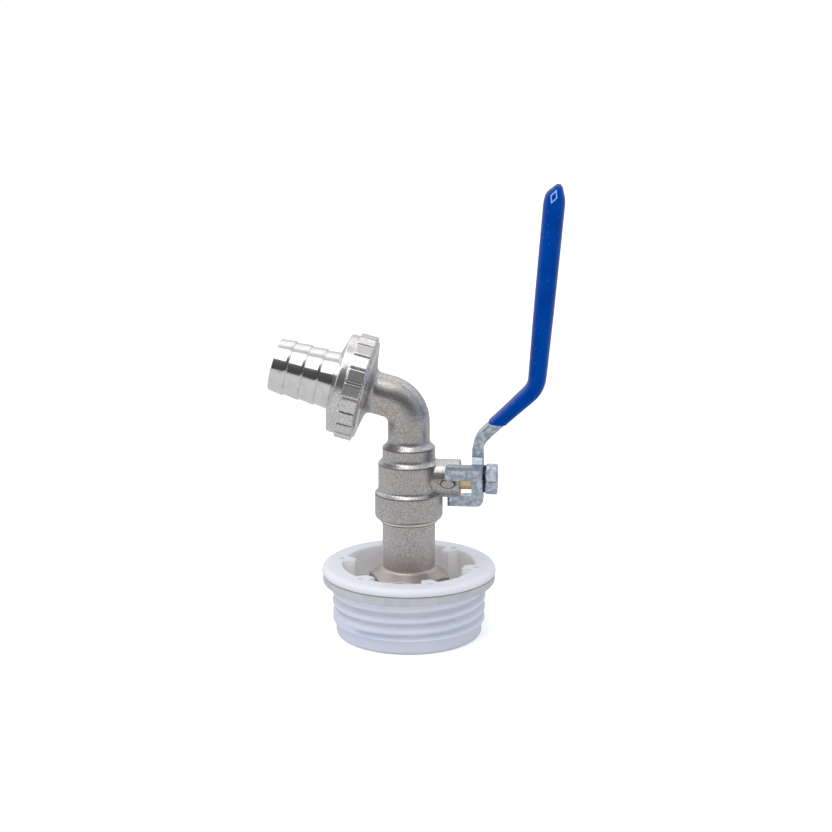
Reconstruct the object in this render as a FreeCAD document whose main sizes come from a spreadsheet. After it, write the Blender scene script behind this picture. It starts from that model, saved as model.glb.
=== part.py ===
import FreeCAD, Part
import math
import operator
import os
from types import SimpleNamespace

import Sketcher

# A drum bung tap: a threaded plastic drum bung with a ball tap screwed into its middle.
# Millimetres. +Z runs up the inlet tube and Z = 0 is the bottom rim of the bung.
# +X points along the valve stem to the lever, and the outlet leaves towards -X.
# The lever is modelled upright, which is the open position.

SIZES = {
    # drum bung, a moulded plug with a coarse drum thread
    "bung_height": 25.2,
    "flange_overhang": 3.4,
    "flange_thickness": 2.7,
    "flange_rounding": 2.2,
    "gasket_thickness": 3.4,
    "gasket_inset": 0.3,
    "thread_radius": 27.9,
    "thread_taper": 0.5,
    "thread_pitch": 4.05,
    "thread_depth": 1.8,
    "thread_root_width": 0.8,
    "thread_groove_width": 2.4,
    "thread_start_height": 5.9,
    "thread_start_angle": 217.0,
    "thread_rise": 11.6,
    "pilot_step": 1.6,
    "pilot_height": 5.0,
    "pilot_rounding": 0.9,
    "skirt_wall": 2.6,
    "recess_wall": 2.5,
    "recess_rounding": 0.5,
    "web_height": 2.5,
    "web_thickness": 3.0,
    "socket_radius": 13.6,
    "socket_height": 18.2,
    "lug_count": 6.0,
    "lug_phase": -7.2,
    "lug_length": 4.2,
    "lug_tip_width": 4.1,
    "lug_root_width": 9.8,
    "dimple_radius": 0.95,
    "dimple_depth": 0.5,
    "dimple_inset": 0.9,
    # inlet spigot, the end piece of the tap that screws into the bung
    "spigot_thread_radius": 10.45,
    "spigot_thread_gap": 0.03,
    "spigot_tip_height": 3.2,
    "washer_thickness": 1.2,
    "washer_edge": 0.4,
    "hex_flats": 26.2,
    "hex_rim": 1.5,
    "hex_slope": 2.9,
    "tube_radius": 9.45,
    "joint_drop": 16.0,
    "joint_ring_height": 1.2,
    "joint_ring_radius": 10.3,
    "joint_thread_radius": 9.6,
    "joint_thread_gap": 0.05,
    "joint_seal_thickness": 1.0,
    "bore_radius": 5.5,
    # valve body
    "stem_height": 57.0,
    "collar_radius": 12.1,
    "collar_drop": 5.2,
    "collar_foot_rounding": 1.6,
    "waist_radius": 10.9,
    "waist_rise": 5.6,
    "neck_radius": 9.35,
    "neck_rise": 5.8,
    "spout_radius": 7.45,
    "spout_bore": 5.4,
    "bend_radius": 9.5,
    "cross_rise": 16.0,
    "outlet_tilt": 15.0,
    "cone_start": 13.6,
    "outlet_thread_start": 14.7,
    "outlet_thread_radius": 13.2,
    "outlet_end": 21.9,
    "outlet_runout": 0.6,
    "shoulder_rounding": 0.7,
    "horn_rounding": 2.2,
    # ball and its seats
    "ball_radius": 8.3,
    "ball_bore": 5.0,
    "cavity_radius": 8.7,
    "seat_radius": 7.7,
    "seat_near": 4.6,
    "seat_thickness": 2.4,
    "seat_gap": 0.05,
    "slot_floor": 6.0,
    "slot_width": 3.1,
    "tongue_gap": 0.05,
    # stem boss, stop lug and stem
    "boss_radius": 6.8,
    "boss_end": 18.5,
    "boss_rounding": 0.6,
    "stop_centre": 14.4,
    "stop_length": 5.2,
    "stop_width": 3.2,
    "stop_reach": 9.0,
    "stem_radius": 3.9,
    "stem_gap": 0.07,
    "stem_head_radius": 5.3,
    "stem_head_start": 8.9,
    "stem_head_end": 10.2,
    "thrust_thickness": 0.9,
    "ring_section": 0.85,
    "ring_centre": 3.08,
    "ring_first": 12.9,
    "ring_step": 2.9,
    "groove_width": 2.0,
    "shoulder_end": 22.65,
    "stem_flats": 5.8,
    "stem_thread_radius": 2.95,
    "stem_end": 31.3,
    # lever, a pressed steel strip with two stop ears, and its dipped grip
    "sheet_thickness": 3.85,
    "plate_half": 6.8,
    "plate_corner": 2.0,
    "ear_inner": 7.1,
    "ear_near": 1.75,
    "ear_end": 13.55,
    "ear_rounding": 1.1,
    "ear_bend": 2.6,
    "hole_gap": 0.05,
    "strip_width": 8.6,
    "strip_foot": 3.0,
    "first_bend_rise": 14.2,
    "first_bend_radius": 8.0,
    "second_bend_rise": 19.2,
    "second_bend_reach": 44.75,
    "second_bend_radius": 9.0,
    "strip_tip_rise": 68.2,
    "strip_tip_reach": 50.1,
    "strip_end_flat": 0.6,
    "grip_start_rise": 6.3,
    "grip_skin": 0.7,
    "grip_tip_skin": 1.9,
    "grip_side": 1.5,
    "grip_tip": 2.3,
    "grip_rounding": 2.0,
    # spring washer and nut on the stem
    "lock_thickness": 0.9,
    "lock_radius": 4.9,
    "lock_gap": 1.2,
    "nut_flats": 10.0,
    "nut_thickness": 4.2,
    "nut_bevel_angle": 30.0,
    # outlet union
    "seal_thickness": 1.5,
    "seal_radius": 12.3,
    "tail_flange": 1.2,
    "tail_flange_radius": 12.5,
    "tail_bore": 6.5,
    "tail_neck_radius": 9.6,
    "tail_end": 49.2,
    "barb_count": 4.0,
    "barb_length": 5.7,
    "barb_crest_radius": 10.35,
    "barb_taper": 0.15,
    "barb_rise": 0.6,
    "barb_land": 1.0,
    "barb_lead": 0.35,
    "union_start": 14.8,
    "union_gap": 0.06,
    "union_radius": 17.75,
    "union_ring_start": 22.4,
    "union_ring_end": 25.3,
    "union_hole_radius": 10.75,
    "union_front": 27.3,
    "union_rear_dish": 0.55,
    "union_rear_chamfer": 0.7,
    "land_count": 22.0,
    "land_phase": -1.4,
    "land_height": 1.15,
    "land_depth": 0.5,
    "land_gap": 0.65,
}

HEX_HALF_ANGLE = 30.0
HALF_TURN = 180.0
ON_AXIS = 1e-9
ON_EDGE = 0.01
SAME_RING = 1e-3
OPERATIONS = {"+": operator.add, "-": operator.sub, "*": operator.mul, "/": operator.truediv}


class Size:
    """A number together with the sheet expression that gives it."""

    def __init__(self, number, text):
        self.number = number
        self.text = text

    def __add__(self, other):
        return joined(self, "+", other)

    def __radd__(self, other):
        return joined(other, "+", self)

    def __sub__(self, other):
        return joined(self, "-", other)

    def __rsub__(self, other):
        return joined(other, "-", self)

    def __mul__(self, other):
        return joined(self, "*", other)

    def __rmul__(self, other):
        return joined(other, "*", self)

    def __truediv__(self, other):
        return joined(self, "/", other)

    def __neg__(self):
        return joined(0, "-", self)


def as_size(value):
    """Take a plain number or a Size as a Size."""
    if isinstance(value, Size):
        return value
    return Size(float(value), repr(float(value)))


def joined(left, sign, right):
    """Work out two sizes joined by an operation, as number and as text."""
    first = as_size(left)
    second = as_size(right)
    number = OPERATIONS[sign](first.number, second.number)
    return Size(number, "(" + first.text + " " + sign + " " + second.text + ")")


def sine(angle):
    """The sine of an angle in degrees."""
    return Size(math.sin(math.radians(angle.number)), "sin(" + angle.text + ")")


def cosine(angle):
    """The cosine of an angle in degrees."""
    return Size(math.cos(math.radians(angle.number)), "cos(" + angle.text + ")")


def tangent(angle):
    """The tangent of an angle in degrees."""
    return Size(math.tan(math.radians(angle.number)), "tan(" + angle.text + ")")


def arctangent(slope):
    """The angle in degrees whose tangent is given."""
    return Size(math.degrees(math.atan(slope.number)), "(atan(" + slope.text + ") / 1deg)")


def make_sheet(doc):
    """Write every driving size into a spreadsheet and hand back the sizes by name."""
    sheet = doc.addObject("Spreadsheet::Sheet", "Sizes")
    for row, (name, number) in enumerate(SIZES.items(), 1):
        sheet.set("A%d" % row, name)
        sheet.set("B%d" % row, repr(number))
        sheet.setAlias("B%d" % row, name)
    doc.recompute()
    return SimpleNamespace(**{name: Size(number, "Sizes." + name) for name, number in SIZES.items()})


def bind(item, prop, size):
    """Tie a property to the sheet."""
    item.setExpression(prop, as_size(size).text)


def placed(base, axis=(0, 0, 1), turn=0):
    """The expression of a placement from a position and a turn about an axis."""
    position = "; ".join(as_size(value).text for value in base)
    direction = "; ".join(repr(float(value)) for value in axis)
    angle = as_size(turn).text
    return "placement(vector(%s); rotation(vector(%s); %s))" % (position, direction, angle)


def put(item, frame):
    """Put an item into a frame of the tap."""
    item.setExpression("Placement", frame)
    return item


# sketches

def attach(sketch, body, plane, offset=None):
    """Lay a sketch on one of the body's own origin planes."""
    support = [item for item in body.Origin.OriginFeatures if item.Role == plane][0]
    sketch.AttachmentSupport = [(support, "")]
    sketch.MapMode = "FlatFace"
    if offset:
        sketch.setExpression("AttachmentOffset", offset)


def new_sketch(body, name, plane, offset=None):
    """A new sketch in a body."""
    sketch = body.newObject("Sketcher::SketchObject", name)
    attach(sketch, body, plane, offset)
    return sketch


def hold(sketch, kind, geometry, point, value):
    """Fix one coordinate of a point, measured from the sketch's origin."""
    size = as_size(value)
    if abs(size.number) < ON_AXIS:
        axis = -2 if kind == "DistanceX" else -1
        sketch.addConstraint(Sketcher.Constraint("PointOnObject", geometry, point, axis))
        return
    if size.number < 0:
        size = -size
        ends = (geometry, point, -1, 1)
    else:
        ends = (-1, 1, geometry, point)
    index = sketch.addConstraint(Sketcher.Constraint(kind, *ends, size.number))
    sketch.setExpression("Constraints[%d]" % index, size.text)


def flat_point(point):
    """A point of an outline as a vector."""
    return FreeCAD.Vector(as_size(point[0]).number, as_size(point[1]).number, 0)


def draw_polygon(sketch, points):
    """Draw a closed outline whose corners are all held by the sheet."""
    corners = [flat_point(point) for point in points]
    first = sketch.GeometryCount
    count = len(points)
    for index in range(count):
        sketch.addGeometry(Part.LineSegment(corners[index], corners[(index + 1) % count]))
    for index in range(count):
        after = first + (index + 1) % count
        sketch.addConstraint(Sketcher.Constraint("Coincident", first + index, 2, after, 1))
    for index, point in enumerate(points):
        hold(sketch, "DistanceX", first + index, 1, point[0])
        hold(sketch, "DistanceY", first + index, 1, point[1])


def draw_circle(sketch, centre, radius):
    """Draw a circle."""
    circle = Part.Circle(flat_point(centre), FreeCAD.Vector(0, 0, 1), as_size(radius).number)
    index = sketch.addGeometry(circle)
    hold(sketch, "DistanceX", index, 3, centre[0])
    hold(sketch, "DistanceY", index, 3, centre[1])
    datum = sketch.addConstraint(Sketcher.Constraint("Radius", index, as_size(radius).number))
    sketch.setExpression("Constraints[%d]" % datum, as_size(radius).text)


def draw_route(sketch, points, radii):
    """Draw straight runs from point to point with a tangent arc at each inner corner."""
    corners = [flat_point(point) for point in points]
    starts = [corners[0]]
    arcs = []
    for index, radius in enumerate(radii, 1):
        before = (corners[index - 1] - corners[index]).normalize()
        after = (corners[index + 1] - corners[index]).normalize()
        half = before.getAngle(after) / 2
        run = radius.number / math.tan(half)
        middle = (before + after).normalize() * (radius.number / math.sin(half) - radius.number)
        entry = corners[index] + before * run
        leave = corners[index] + after * run
        arcs.append(Part.Arc(entry, corners[index] + middle, leave))
        starts += [entry, leave]
    starts.append(corners[-1])
    lines = [sketch.addGeometry(Part.LineSegment(starts[2 * n], starts[2 * n + 1]))
             for n in range(len(arcs) + 1)]
    for number, arc in enumerate(arcs):
        bend = sketch.addGeometry(arc)
        corner = sketch.addGeometry(Part.Point(corners[number + 1]), True)
        hold(sketch, "DistanceX", corner, 1, points[number + 1][0])
        hold(sketch, "DistanceY", corner, 1, points[number + 1][1])
        join_bend(sketch, lines[number], 2, bend)
        join_bend(sketch, lines[number + 1], 1, bend)
        for line in (lines[number], lines[number + 1]):
            sketch.addConstraint(Sketcher.Constraint("PointOnObject", corner, 1, line))
        datum = sketch.addConstraint(Sketcher.Constraint("Radius", bend, radii[number].number))
        sketch.setExpression("Constraints[%d]" % datum, radii[number].text)
    hold(sketch, "DistanceX", lines[0], 1, points[0][0])
    hold(sketch, "DistanceY", lines[0], 1, points[0][1])
    hold(sketch, "DistanceX", lines[-1], 2, points[-1][0])
    hold(sketch, "DistanceY", lines[-1], 2, points[-1][1])


def join_bend(sketch, line, end, bend):
    """Join the end of a line to the nearer end of an arc, tangent to it."""
    tip = sketch.getPoint(line, end)
    nearer = min((1, 2), key=lambda side: (sketch.getPoint(bend, side) - tip).Length)
    sketch.addConstraint(Sketcher.Constraint("Tangent", line, end, bend, nearer))


# features

def new_body(doc, name):
    """A new body, named as its node."""
    return doc.addObject("PartDesign::Body", name)


def turned(body, points, name="turn", kind="PartDesign::Revolution"):
    """Turn an outline of (radius, height) points about the body's own Z axis."""
    sketch = new_sketch(body, body.Name + "_" + name + "_outline", "XZ_Plane")
    draw_polygon(sketch, points)
    feature = body.newObject(kind, body.Name + "_" + name)
    feature.Profile = sketch
    feature.ReferenceAxis = (sketch, ["V_Axis"])
    feature.Angle = 360
    return feature


def raised(body, sketch, length, name, kind="PartDesign::Pad", reverse=False):
    """Pad or pocket a sketch by a length."""
    feature = body.newObject(kind, body.Name + "_" + name)
    feature.Profile = sketch
    feature.Reversed = reverse
    bind(feature, "Length", length)
    return feature


def repeated(body, feature, count, name):
    """Repeat a feature around the body's own Z axis."""
    pattern = body.newObject("PartDesign::PolarPattern", body.Name + "_" + name)
    pattern.Originals = [feature]
    axis = [item for item in body.Origin.OriginFeatures if item.Role == "Z_Axis"][0]
    pattern.Axis = (axis, [""])
    pattern.Angle = 360
    bind(pattern, "Occurrences", count)
    body.Tip = pattern
    return pattern


def ring_edges(feature, rings):
    """Name the circular edges about the Z axis with the given (radius, height) values."""
    names = []
    for number, edge in enumerate(feature.Shape.Edges, 1):
        curve = edge.Curve
        if not isinstance(curve, Part.Circle):
            continue
        for radius, height in rings:
            gap = abs(curve.Radius - as_size(radius).number)
            drop = abs(curve.Center.z - as_size(height).number)
            if gap < SAME_RING and drop < SAME_RING:
                names.append("Edge%d" % number)
    return names


def dressed(body, feature, edges, size, name, kind="PartDesign::Fillet"):
    """Round or bevel edges of a feature."""
    body.Document.recompute()
    names = edges(feature) if callable(edges) else ring_edges(feature, edges)
    item = body.newObject(kind, body.Name + "_" + name)
    item.Base = (feature, names)
    bind(item, "Radius" if kind == "PartDesign::Fillet" else "Size", size)
    return item


def solid(doc, kind, name, frame=None, **sizes):
    """A primitive whose sizes are tied to the sheet."""
    item = doc.addObject(kind, name)
    for prop, size in sizes.items():
        bind(item, prop, size)
    if frame:
        put(item, frame)
    return item


def fused(doc, name, items):
    """Join several shapes into one."""
    item = doc.addObject("Part::MultiFuse", name)
    item.Shapes = items
    item.Refine = True
    return item


def cut(doc, name, base, tool):
    """Take one shape away from another."""
    item = doc.addObject("Part::Cut", name)
    item.Base = base
    item.Tool = tool
    item.Refine = True
    return item


# heights that follow the stem's axis

def joint_height(d):
    return d.stem_height - d.joint_drop


def collar_top(d):
    return d.stem_height - d.collar_drop


def waist_top(d):
    return d.stem_height + d.waist_rise


def neck_top(d):
    return waist_top(d) + d.neck_rise


def axes_cross(d):
    return neck_top(d) + d.cross_rise


def first_bend_height(d):
    return d.stem_height + d.first_bend_rise


def second_bend_height(d):
    return first_bend_height(d) + d.second_bend_rise


def strip_tip_height(d):
    return second_bend_height(d) + d.strip_tip_rise


def grip_start(d):
    return first_bend_height(d) + d.grip_start_rise


# frames: each local Z axis is the working axis of the pieces that are turned about it

def make_frames(d):
    """The stem frame looks along +X and the outlet frame along the tilted outlet."""
    return SimpleNamespace(
        stem=placed((0, 0, d.stem_height), axis=(0, 1, 0), turn=90),
        outlet=outlet_frame(d, as_size(0)),
        after_bend=outlet_frame(d, bend_run(d)),
    )


def on_outlet(d, distance):
    """The X and Z of a point on the outlet's axis."""
    return (-distance * cosine(d.outlet_tilt), axes_cross(d) + distance * sine(d.outlet_tilt))


def outlet_frame(d, distance):
    """A frame that looks out along the outlet, at a distance from where the axes cross."""
    reach, height = on_outlet(d, distance)
    return placed((reach, 0, height), axis=(0, 1, 0), turn=d.outlet_tilt - 90)


def bend_run(d):
    """How far the arc of the spout reaches from the crossing of the two axes."""
    return d.bend_radius * tangent((90 - d.outlet_tilt) / 2)


# drum bung

def thread_top(d):
    return d.bung_height - d.flange_thickness - d.gasket_thickness


def flange_radius(d):
    return d.thread_radius + d.flange_overhang


def pilot_radius(d):
    return d.thread_radius - d.pilot_step


def recess_radius(d):
    return pilot_radius(d) - d.recess_wall


def make_bung(doc, d):
    body = new_body(doc, "bung_body")
    flange_bottom = d.bung_height - d.flange_thickness
    floor_top = d.web_height + d.web_thickness
    socket_bore = d.spigot_thread_radius + d.spigot_thread_gap
    pilot = pilot_radius(d)
    flange = flange_radius(d)
    recess = recess_radius(d)
    shell = turned(body, [
        (socket_bore, d.web_height),
        (pilot - d.skirt_wall, d.web_height),
        (pilot - d.skirt_wall, 0),
        (pilot, 0),
        (pilot, d.pilot_height),
        (d.thread_radius - d.thread_taper, d.pilot_height),
        (d.thread_radius, thread_top(d)),
        (d.thread_radius, flange_bottom),
        (flange, flange_bottom),
        (flange, d.bung_height),
        (recess, d.bung_height),
        (recess, floor_top),
        (d.socket_radius, floor_top),
        (d.socket_radius, d.socket_height),
        (socket_bore, d.socket_height),
    ])
    rim = dressed(body, shell, [(flange, d.bung_height)], d.flange_rounding, "rim")
    foot = dressed(body, rim, [(pilot, 0)], d.pilot_rounding, "foot")
    dressed(body, foot, [(recess, d.bung_height)], d.recess_rounding, "lip")
    doc.recompute()
    cut_thread(body, d)
    add_lugs(body, d, floor_top)
    add_dimples(body, d)
    return body


def cut_thread(body, d):
    """Cut the single-start right-hand drum thread as one helical groove."""
    turn = placed((0, 0, 0), axis=(0, 1, 0), turn=d.thread_start_angle)
    sketch = new_sketch(body, "bung_thread_section", "XZ_Plane", turn)
    root = d.thread_radius - d.thread_depth
    outside = d.thread_radius + d.thread_depth / 2
    half_root = d.thread_root_width / 2
    half_mouth = d.thread_groove_width / 2
    flare = half_mouth + (half_mouth - half_root) / 2
    draw_polygon(sketch, [
        (root, d.thread_start_height - half_root),
        (outside, d.thread_start_height - flare),
        (outside, d.thread_start_height + flare),
        (root, d.thread_start_height + half_root),
    ])
    groove = body.newObject("PartDesign::SubtractiveHelix", "bung_thread")
    groove.Profile = sketch
    groove.ReferenceAxis = (sketch, ["V_Axis"])
    groove.Mode = "pitch-height-angle"
    bind(groove, "Pitch", d.thread_pitch)
    bind(groove, "Height", d.thread_rise)
    groove.LeftHanded = False
    return groove


def add_lugs(body, d, floor_top):
    """Raise the wrench lugs inside the recess."""
    offset = placed((0, 0, floor_top), turn=d.lug_phase)
    sketch = new_sketch(body, "bung_lug_outline", "XY_Plane", offset)
    tip = recess_radius(d) - d.lug_length
    back = recess_radius(d) + d.recess_rounding
    draw_polygon(sketch, [
        (tip, -d.lug_tip_width / 2),
        (back, -d.lug_root_width / 2),
        (back, d.lug_root_width / 2),
        (tip, d.lug_tip_width / 2),
    ])
    lug = raised(body, sketch, d.bung_height - floor_top, "lug")
    repeated(body, lug, d.lug_count, "lugs")


def add_dimples(body, d):
    """Sink a small round dimple in the rim over each lug."""
    offset = placed((0, 0, d.bung_height), turn=d.lug_phase)
    sketch = new_sketch(body, "bung_dimple_outline", "XY_Plane", offset)
    draw_circle(sketch, (recess_radius(d) + d.dimple_inset, 0), d.dimple_radius)
    dimple = raised(body, sketch, d.dimple_depth, "dimple", kind="PartDesign::Pocket")
    repeated(body, dimple, d.lug_count, "dimples")


def make_gasket(doc, d):
    body = new_body(doc, "flange_gasket")
    flange_bottom = d.bung_height - d.flange_thickness
    outer = flange_radius(d) - d.gasket_inset
    turned(body, [
        (d.thread_radius, thread_top(d)),
        (outer, thread_top(d)),
        (outer, flange_bottom),
        (d.thread_radius, flange_bottom),
    ])
    return body


# inlet spigot

def hex_base(d):
    return d.socket_height + d.washer_thickness


def make_washer(doc, d):
    body = new_body(doc, "spigot_washer")
    turned(body, [
        (d.spigot_thread_radius + d.spigot_thread_gap, d.socket_height),
        (d.socket_radius - d.washer_edge, d.socket_height),
        (d.socket_radius - d.washer_edge, hex_base(d)),
        (d.spigot_thread_radius + d.spigot_thread_gap, hex_base(d)),
    ])
    return body


def hexagon(doc, name, flats, height, phase):
    """A flat hexagon of a given width across flats."""
    item = doc.addObject("Part::RegularPolygon", name)
    item.Polygon = 6
    bind(item, "Circumradius", flats / 2 / cosine(as_size(HEX_HALF_ANGLE)))
    return put(item, placed((0, 0, height), turn=phase))


def make_spigot(doc, d):
    rim_top = hex_base(d) + d.hex_rim
    slope_top = rim_top + d.hex_slope
    low = hexagon(doc, "spigot_hex_low", d.hex_flats, hex_base(d), d.lug_phase)
    middle = hexagon(doc, "spigot_hex_middle", d.hex_flats, rim_top, d.lug_phase)
    high = hexagon(doc, "spigot_hex_high", 2 * d.tube_radius, slope_top, d.lug_phase)
    collar = doc.addObject("Part::Loft", "spigot_hex_collar")
    collar.Sections = [low, middle, high]
    collar.Solid = True
    collar.Ruled = True
    core = new_body(doc, "spigot_core")
    stop = d.stem_height - d.seat_near - d.seat_thickness
    turned(core, [
        (d.bore_radius, d.spigot_tip_height),
        (d.spigot_thread_radius, d.spigot_tip_height),
        (d.spigot_thread_radius, hex_base(d)),
        (d.tube_radius, hex_base(d)),
        (d.tube_radius, joint_height(d)),
        (d.joint_ring_radius, joint_height(d)),
        (d.joint_ring_radius, joint_height(d) + d.joint_ring_height),
        (d.joint_thread_radius, joint_height(d) + d.joint_ring_height),
        (d.joint_thread_radius, stop),
        (d.bore_radius, stop),
    ])
    bore = solid(doc, "Part::Cylinder", "spigot_bore", placed((0, 0, d.spigot_tip_height)),
                 Radius=d.bore_radius, Height=stop - d.spigot_tip_height)
    outside = fused(doc, "spigot_outside", [core, collar])
    return cut(doc, "inlet_spigot", outside, bore)


def make_joint_seal(doc, d):
    """The flat ring that seals the screwed joint inside the valve body."""
    body = new_body(doc, "body_joint_seal")
    low = joint_height(d) + d.joint_ring_height
    outer = d.joint_ring_radius
    turned(body, [
        (d.joint_thread_radius + d.joint_thread_gap, low),
        (outer, low),
        (outer, low + d.joint_seal_thickness),
        (d.joint_thread_radius + d.joint_thread_gap, low + d.joint_seal_thickness),
    ])
    return body


# valve body

def make_spout(doc, d, name, radius):
    """A round tube of solid metal along the spout's centreline."""
    body = new_body(doc, name)
    route = new_sketch(body, name + "_route", "XZ_Plane")
    end = on_outlet(d, d.outlet_thread_start)
    draw_route(route, [(0, waist_top(d)), (0, axes_cross(d)), end], [d.bend_radius])
    section = new_sketch(body, name + "_section", "XY_Plane", placed((0, 0, waist_top(d))))
    draw_circle(section, (0, 0), radius)
    pipe = body.newObject("PartDesign::AdditivePipe", name + "_pipe")
    pipe.Profile = section
    pipe.Spine = (route, ["Edge1", "Edge2", "Edge3"])
    return body


def make_valve_body(doc, d, frames):
    shell = new_body(doc, "valve_shell")
    foot = joint_height(d) + d.joint_ring_height
    waist_foot = collar_top(d) + d.collar_radius - d.waist_radius
    neck_foot = waist_top(d) + d.waist_radius - d.neck_radius
    spout_foot = neck_top(d) + d.neck_radius - d.spout_radius
    casting = turned(shell, [
        (0, foot),
        (d.collar_radius, foot),
        (d.collar_radius, collar_top(d)),
        (d.waist_radius, waist_foot),
        (d.waist_radius, waist_top(d)),
        (d.neck_radius, neck_foot),
        (d.neck_radius, neck_top(d)),
        (d.spout_radius, spout_foot),
        (d.spout_radius, spout_foot + d.shoulder_rounding),
        (0, spout_foot + d.shoulder_rounding),
    ])
    rounded_foot = dressed(shell, casting, [(d.collar_radius, foot)], d.collar_foot_rounding, "foot")
    shoulders = [
        (d.collar_radius, collar_top(d)),
        (d.waist_radius, waist_foot),
        (d.waist_radius, waist_top(d)),
        (d.neck_radius, neck_foot),
        (d.neck_radius, neck_top(d)),
        (d.spout_radius, spout_foot),
    ]
    dressed(shell, rounded_foot, shoulders, d.shoulder_rounding, "shoulders")
    spout = make_spout(doc, d, "spout_metal", d.spout_radius)
    horn = new_body(doc, "outlet_horn")
    flare = turned(horn, [
        (0, bend_run(d)),
        (d.spout_radius, bend_run(d)),
        (d.spout_radius, d.cone_start),
        (d.outlet_thread_radius - d.outlet_runout, d.outlet_thread_start),
        (d.outlet_thread_radius, d.outlet_thread_start + d.outlet_runout),
        (d.outlet_thread_radius, d.outlet_end),
        (0, d.outlet_end),
    ])
    dressed(horn, flare, [(d.spout_radius, d.cone_start)], d.horn_rounding, "flare")
    put(horn, frames.outlet)
    boss = new_body(doc, "stem_boss")
    pad = turned(boss, [(0, 0), (d.boss_radius, 0), (d.boss_radius, d.boss_end), (0, d.boss_end)])
    dressed(boss, pad, [(d.boss_radius, d.boss_end)], d.boss_rounding, "edge")
    put(boss, frames.stem)
    stop = make_stop_lug(doc, d)
    outside = fused(doc, "valve_outside", [shell, spout, horn, boss, stop])
    return cut(doc, "valve_body", outside, make_valve_hollow(doc, d, frames))


def make_stop_lug(doc, d):
    """The oval lug on the front of the boss that stops the lever's ears."""
    oval = doc.addObject("Part::Ellipse", "stop_oval")
    bind(oval, "MajorRadius", d.stop_length / 2)
    bind(oval, "MinorRadius", d.stop_width / 2)
    put(oval, placed((d.stop_centre, -d.stop_reach, d.stem_height), axis=(1, 0, 0), turn=90))
    lug = doc.addObject("Part::Extrusion", "stop_lug")
    lug.Base = oval
    lug.DirMode = "Custom"
    lug.Dir = FreeCAD.Vector(0, 1, 0)
    lug.Solid = True
    bind(lug, "LengthFwd", d.stop_reach)
    return lug


def make_valve_hollow(doc, d, frames):
    """Everything that is bored out of the casting."""
    foot = joint_height(d) + d.joint_ring_height
    seat_low = d.stem_height - d.seat_near - d.seat_thickness
    seat_high = d.stem_height + d.seat_near
    seat_top = seat_high + d.seat_thickness
    thread_bore = d.joint_thread_radius + d.joint_thread_gap
    chamber = new_body(doc, "valve_chamber")
    turned(chamber, [
        (0, foot),
        (d.joint_ring_radius, foot),
        (d.joint_ring_radius, foot + d.joint_seal_thickness),
        (thread_bore, foot + d.joint_seal_thickness),
        (thread_bore, seat_low),
        (d.cavity_radius, seat_low),
        (d.cavity_radius, seat_high),
        (d.seat_radius, seat_high),
        (d.seat_radius, seat_top),
        (0, seat_top),
    ])
    bore = make_spout(doc, d, "spout_bore", d.spout_bore)
    mouth = solid(doc, "Part::Cylinder", "outlet_mouth", frames.after_bend,
                  Radius=d.spout_bore, Height=d.outlet_end - bend_run(d))
    gland = new_body(doc, "gland_bore")
    ledge = d.stem_head_end + d.thrust_thickness + d.stem_gap
    turned(gland, [
        (0, 0),
        (d.stem_head_radius + d.stem_gap, 0),
        (d.stem_head_radius + d.stem_gap, ledge),
        (d.stem_radius + d.stem_gap, ledge),
        (d.stem_radius + d.stem_gap, d.boss_end),
        (0, d.boss_end),
    ])
    put(gland, frames.stem)
    return fused(doc, "valve_hollow", [chamber, bore, mouth, gland])


# ball and seats

def make_ball(doc, d):
    sphere = solid(doc, "Part::Sphere", "ball_sphere", placed((0, 0, d.stem_height)),
                   Radius=d.ball_radius)
    bore = solid(doc, "Part::Cylinder", "ball_bore_tool",
                 placed((0, 0, d.stem_height - 2 * d.ball_radius)),
                 Radius=d.ball_bore, Height=4 * d.ball_radius)
    slot = solid(doc, "Part::Box", "ball_slot_tool",
                 placed((d.slot_floor, -2 * d.ball_radius, d.stem_height - d.slot_width / 2)),
                 Length=d.ball_radius, Width=4 * d.ball_radius, Height=d.slot_width)
    return cut(doc, "ball", sphere, fused(doc, "ball_openings", [bore, slot]))


def make_seat(doc, d, name, far, near):
    """A seat ring between two heights, hollowed to the ball."""
    ring = new_body(doc, name + "_ring")
    low, high = (far, near) if far.number < near.number else (near, far)
    turned(ring, [
        (d.ball_bore, low),
        (d.seat_radius, low),
        (d.seat_radius, high),
        (d.ball_bore, high),
    ])
    hollow = solid(doc, "Part::Sphere", name + "_hollow", placed((0, 0, d.stem_height)),
                   Radius=d.ball_radius + d.seat_gap)
    return cut(doc, name, ring, hollow)


def make_seats(doc, d):
    near = d.seat_near
    far = d.seat_near + d.seat_thickness
    inlet = make_seat(doc, d, "inlet_seat", d.stem_height - far, d.stem_height - near)
    outlet = make_seat(doc, d, "outlet_seat", d.stem_height + far, d.stem_height + near)
    return [inlet, outlet]


# stem and its seals

def groove_points(d, centre):
    """The outline of one ring groove, walked up the stem."""
    floor = d.ring_centre - d.ring_section
    half = d.groove_width / 2
    return [
        (d.stem_radius, centre - half),
        (floor, centre - half),
        (floor, centre + half),
        (d.stem_radius, centre + half),
    ]


def flat_sides(body, name, start, length, across, reach, sideways):
    """Mill two parallel flats on a stretch of a round bar."""
    sketch = new_sketch(body, body.Name + "_" + name + "_outline", "XY_Plane",
                        placed((0, 0, start)))
    half = across / 2
    for side in (1, -1):
        near = half * side
        far = reach * side
        corners = [(near, -reach), (far, -reach), (far, reach), (near, reach)]
        if sideways:
            corners = [(y, x) for x, y in corners]
        draw_polygon(sketch, corners)
    return raised(body, sketch, length, name, kind="PartDesign::Pocket", reverse=True)


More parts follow.
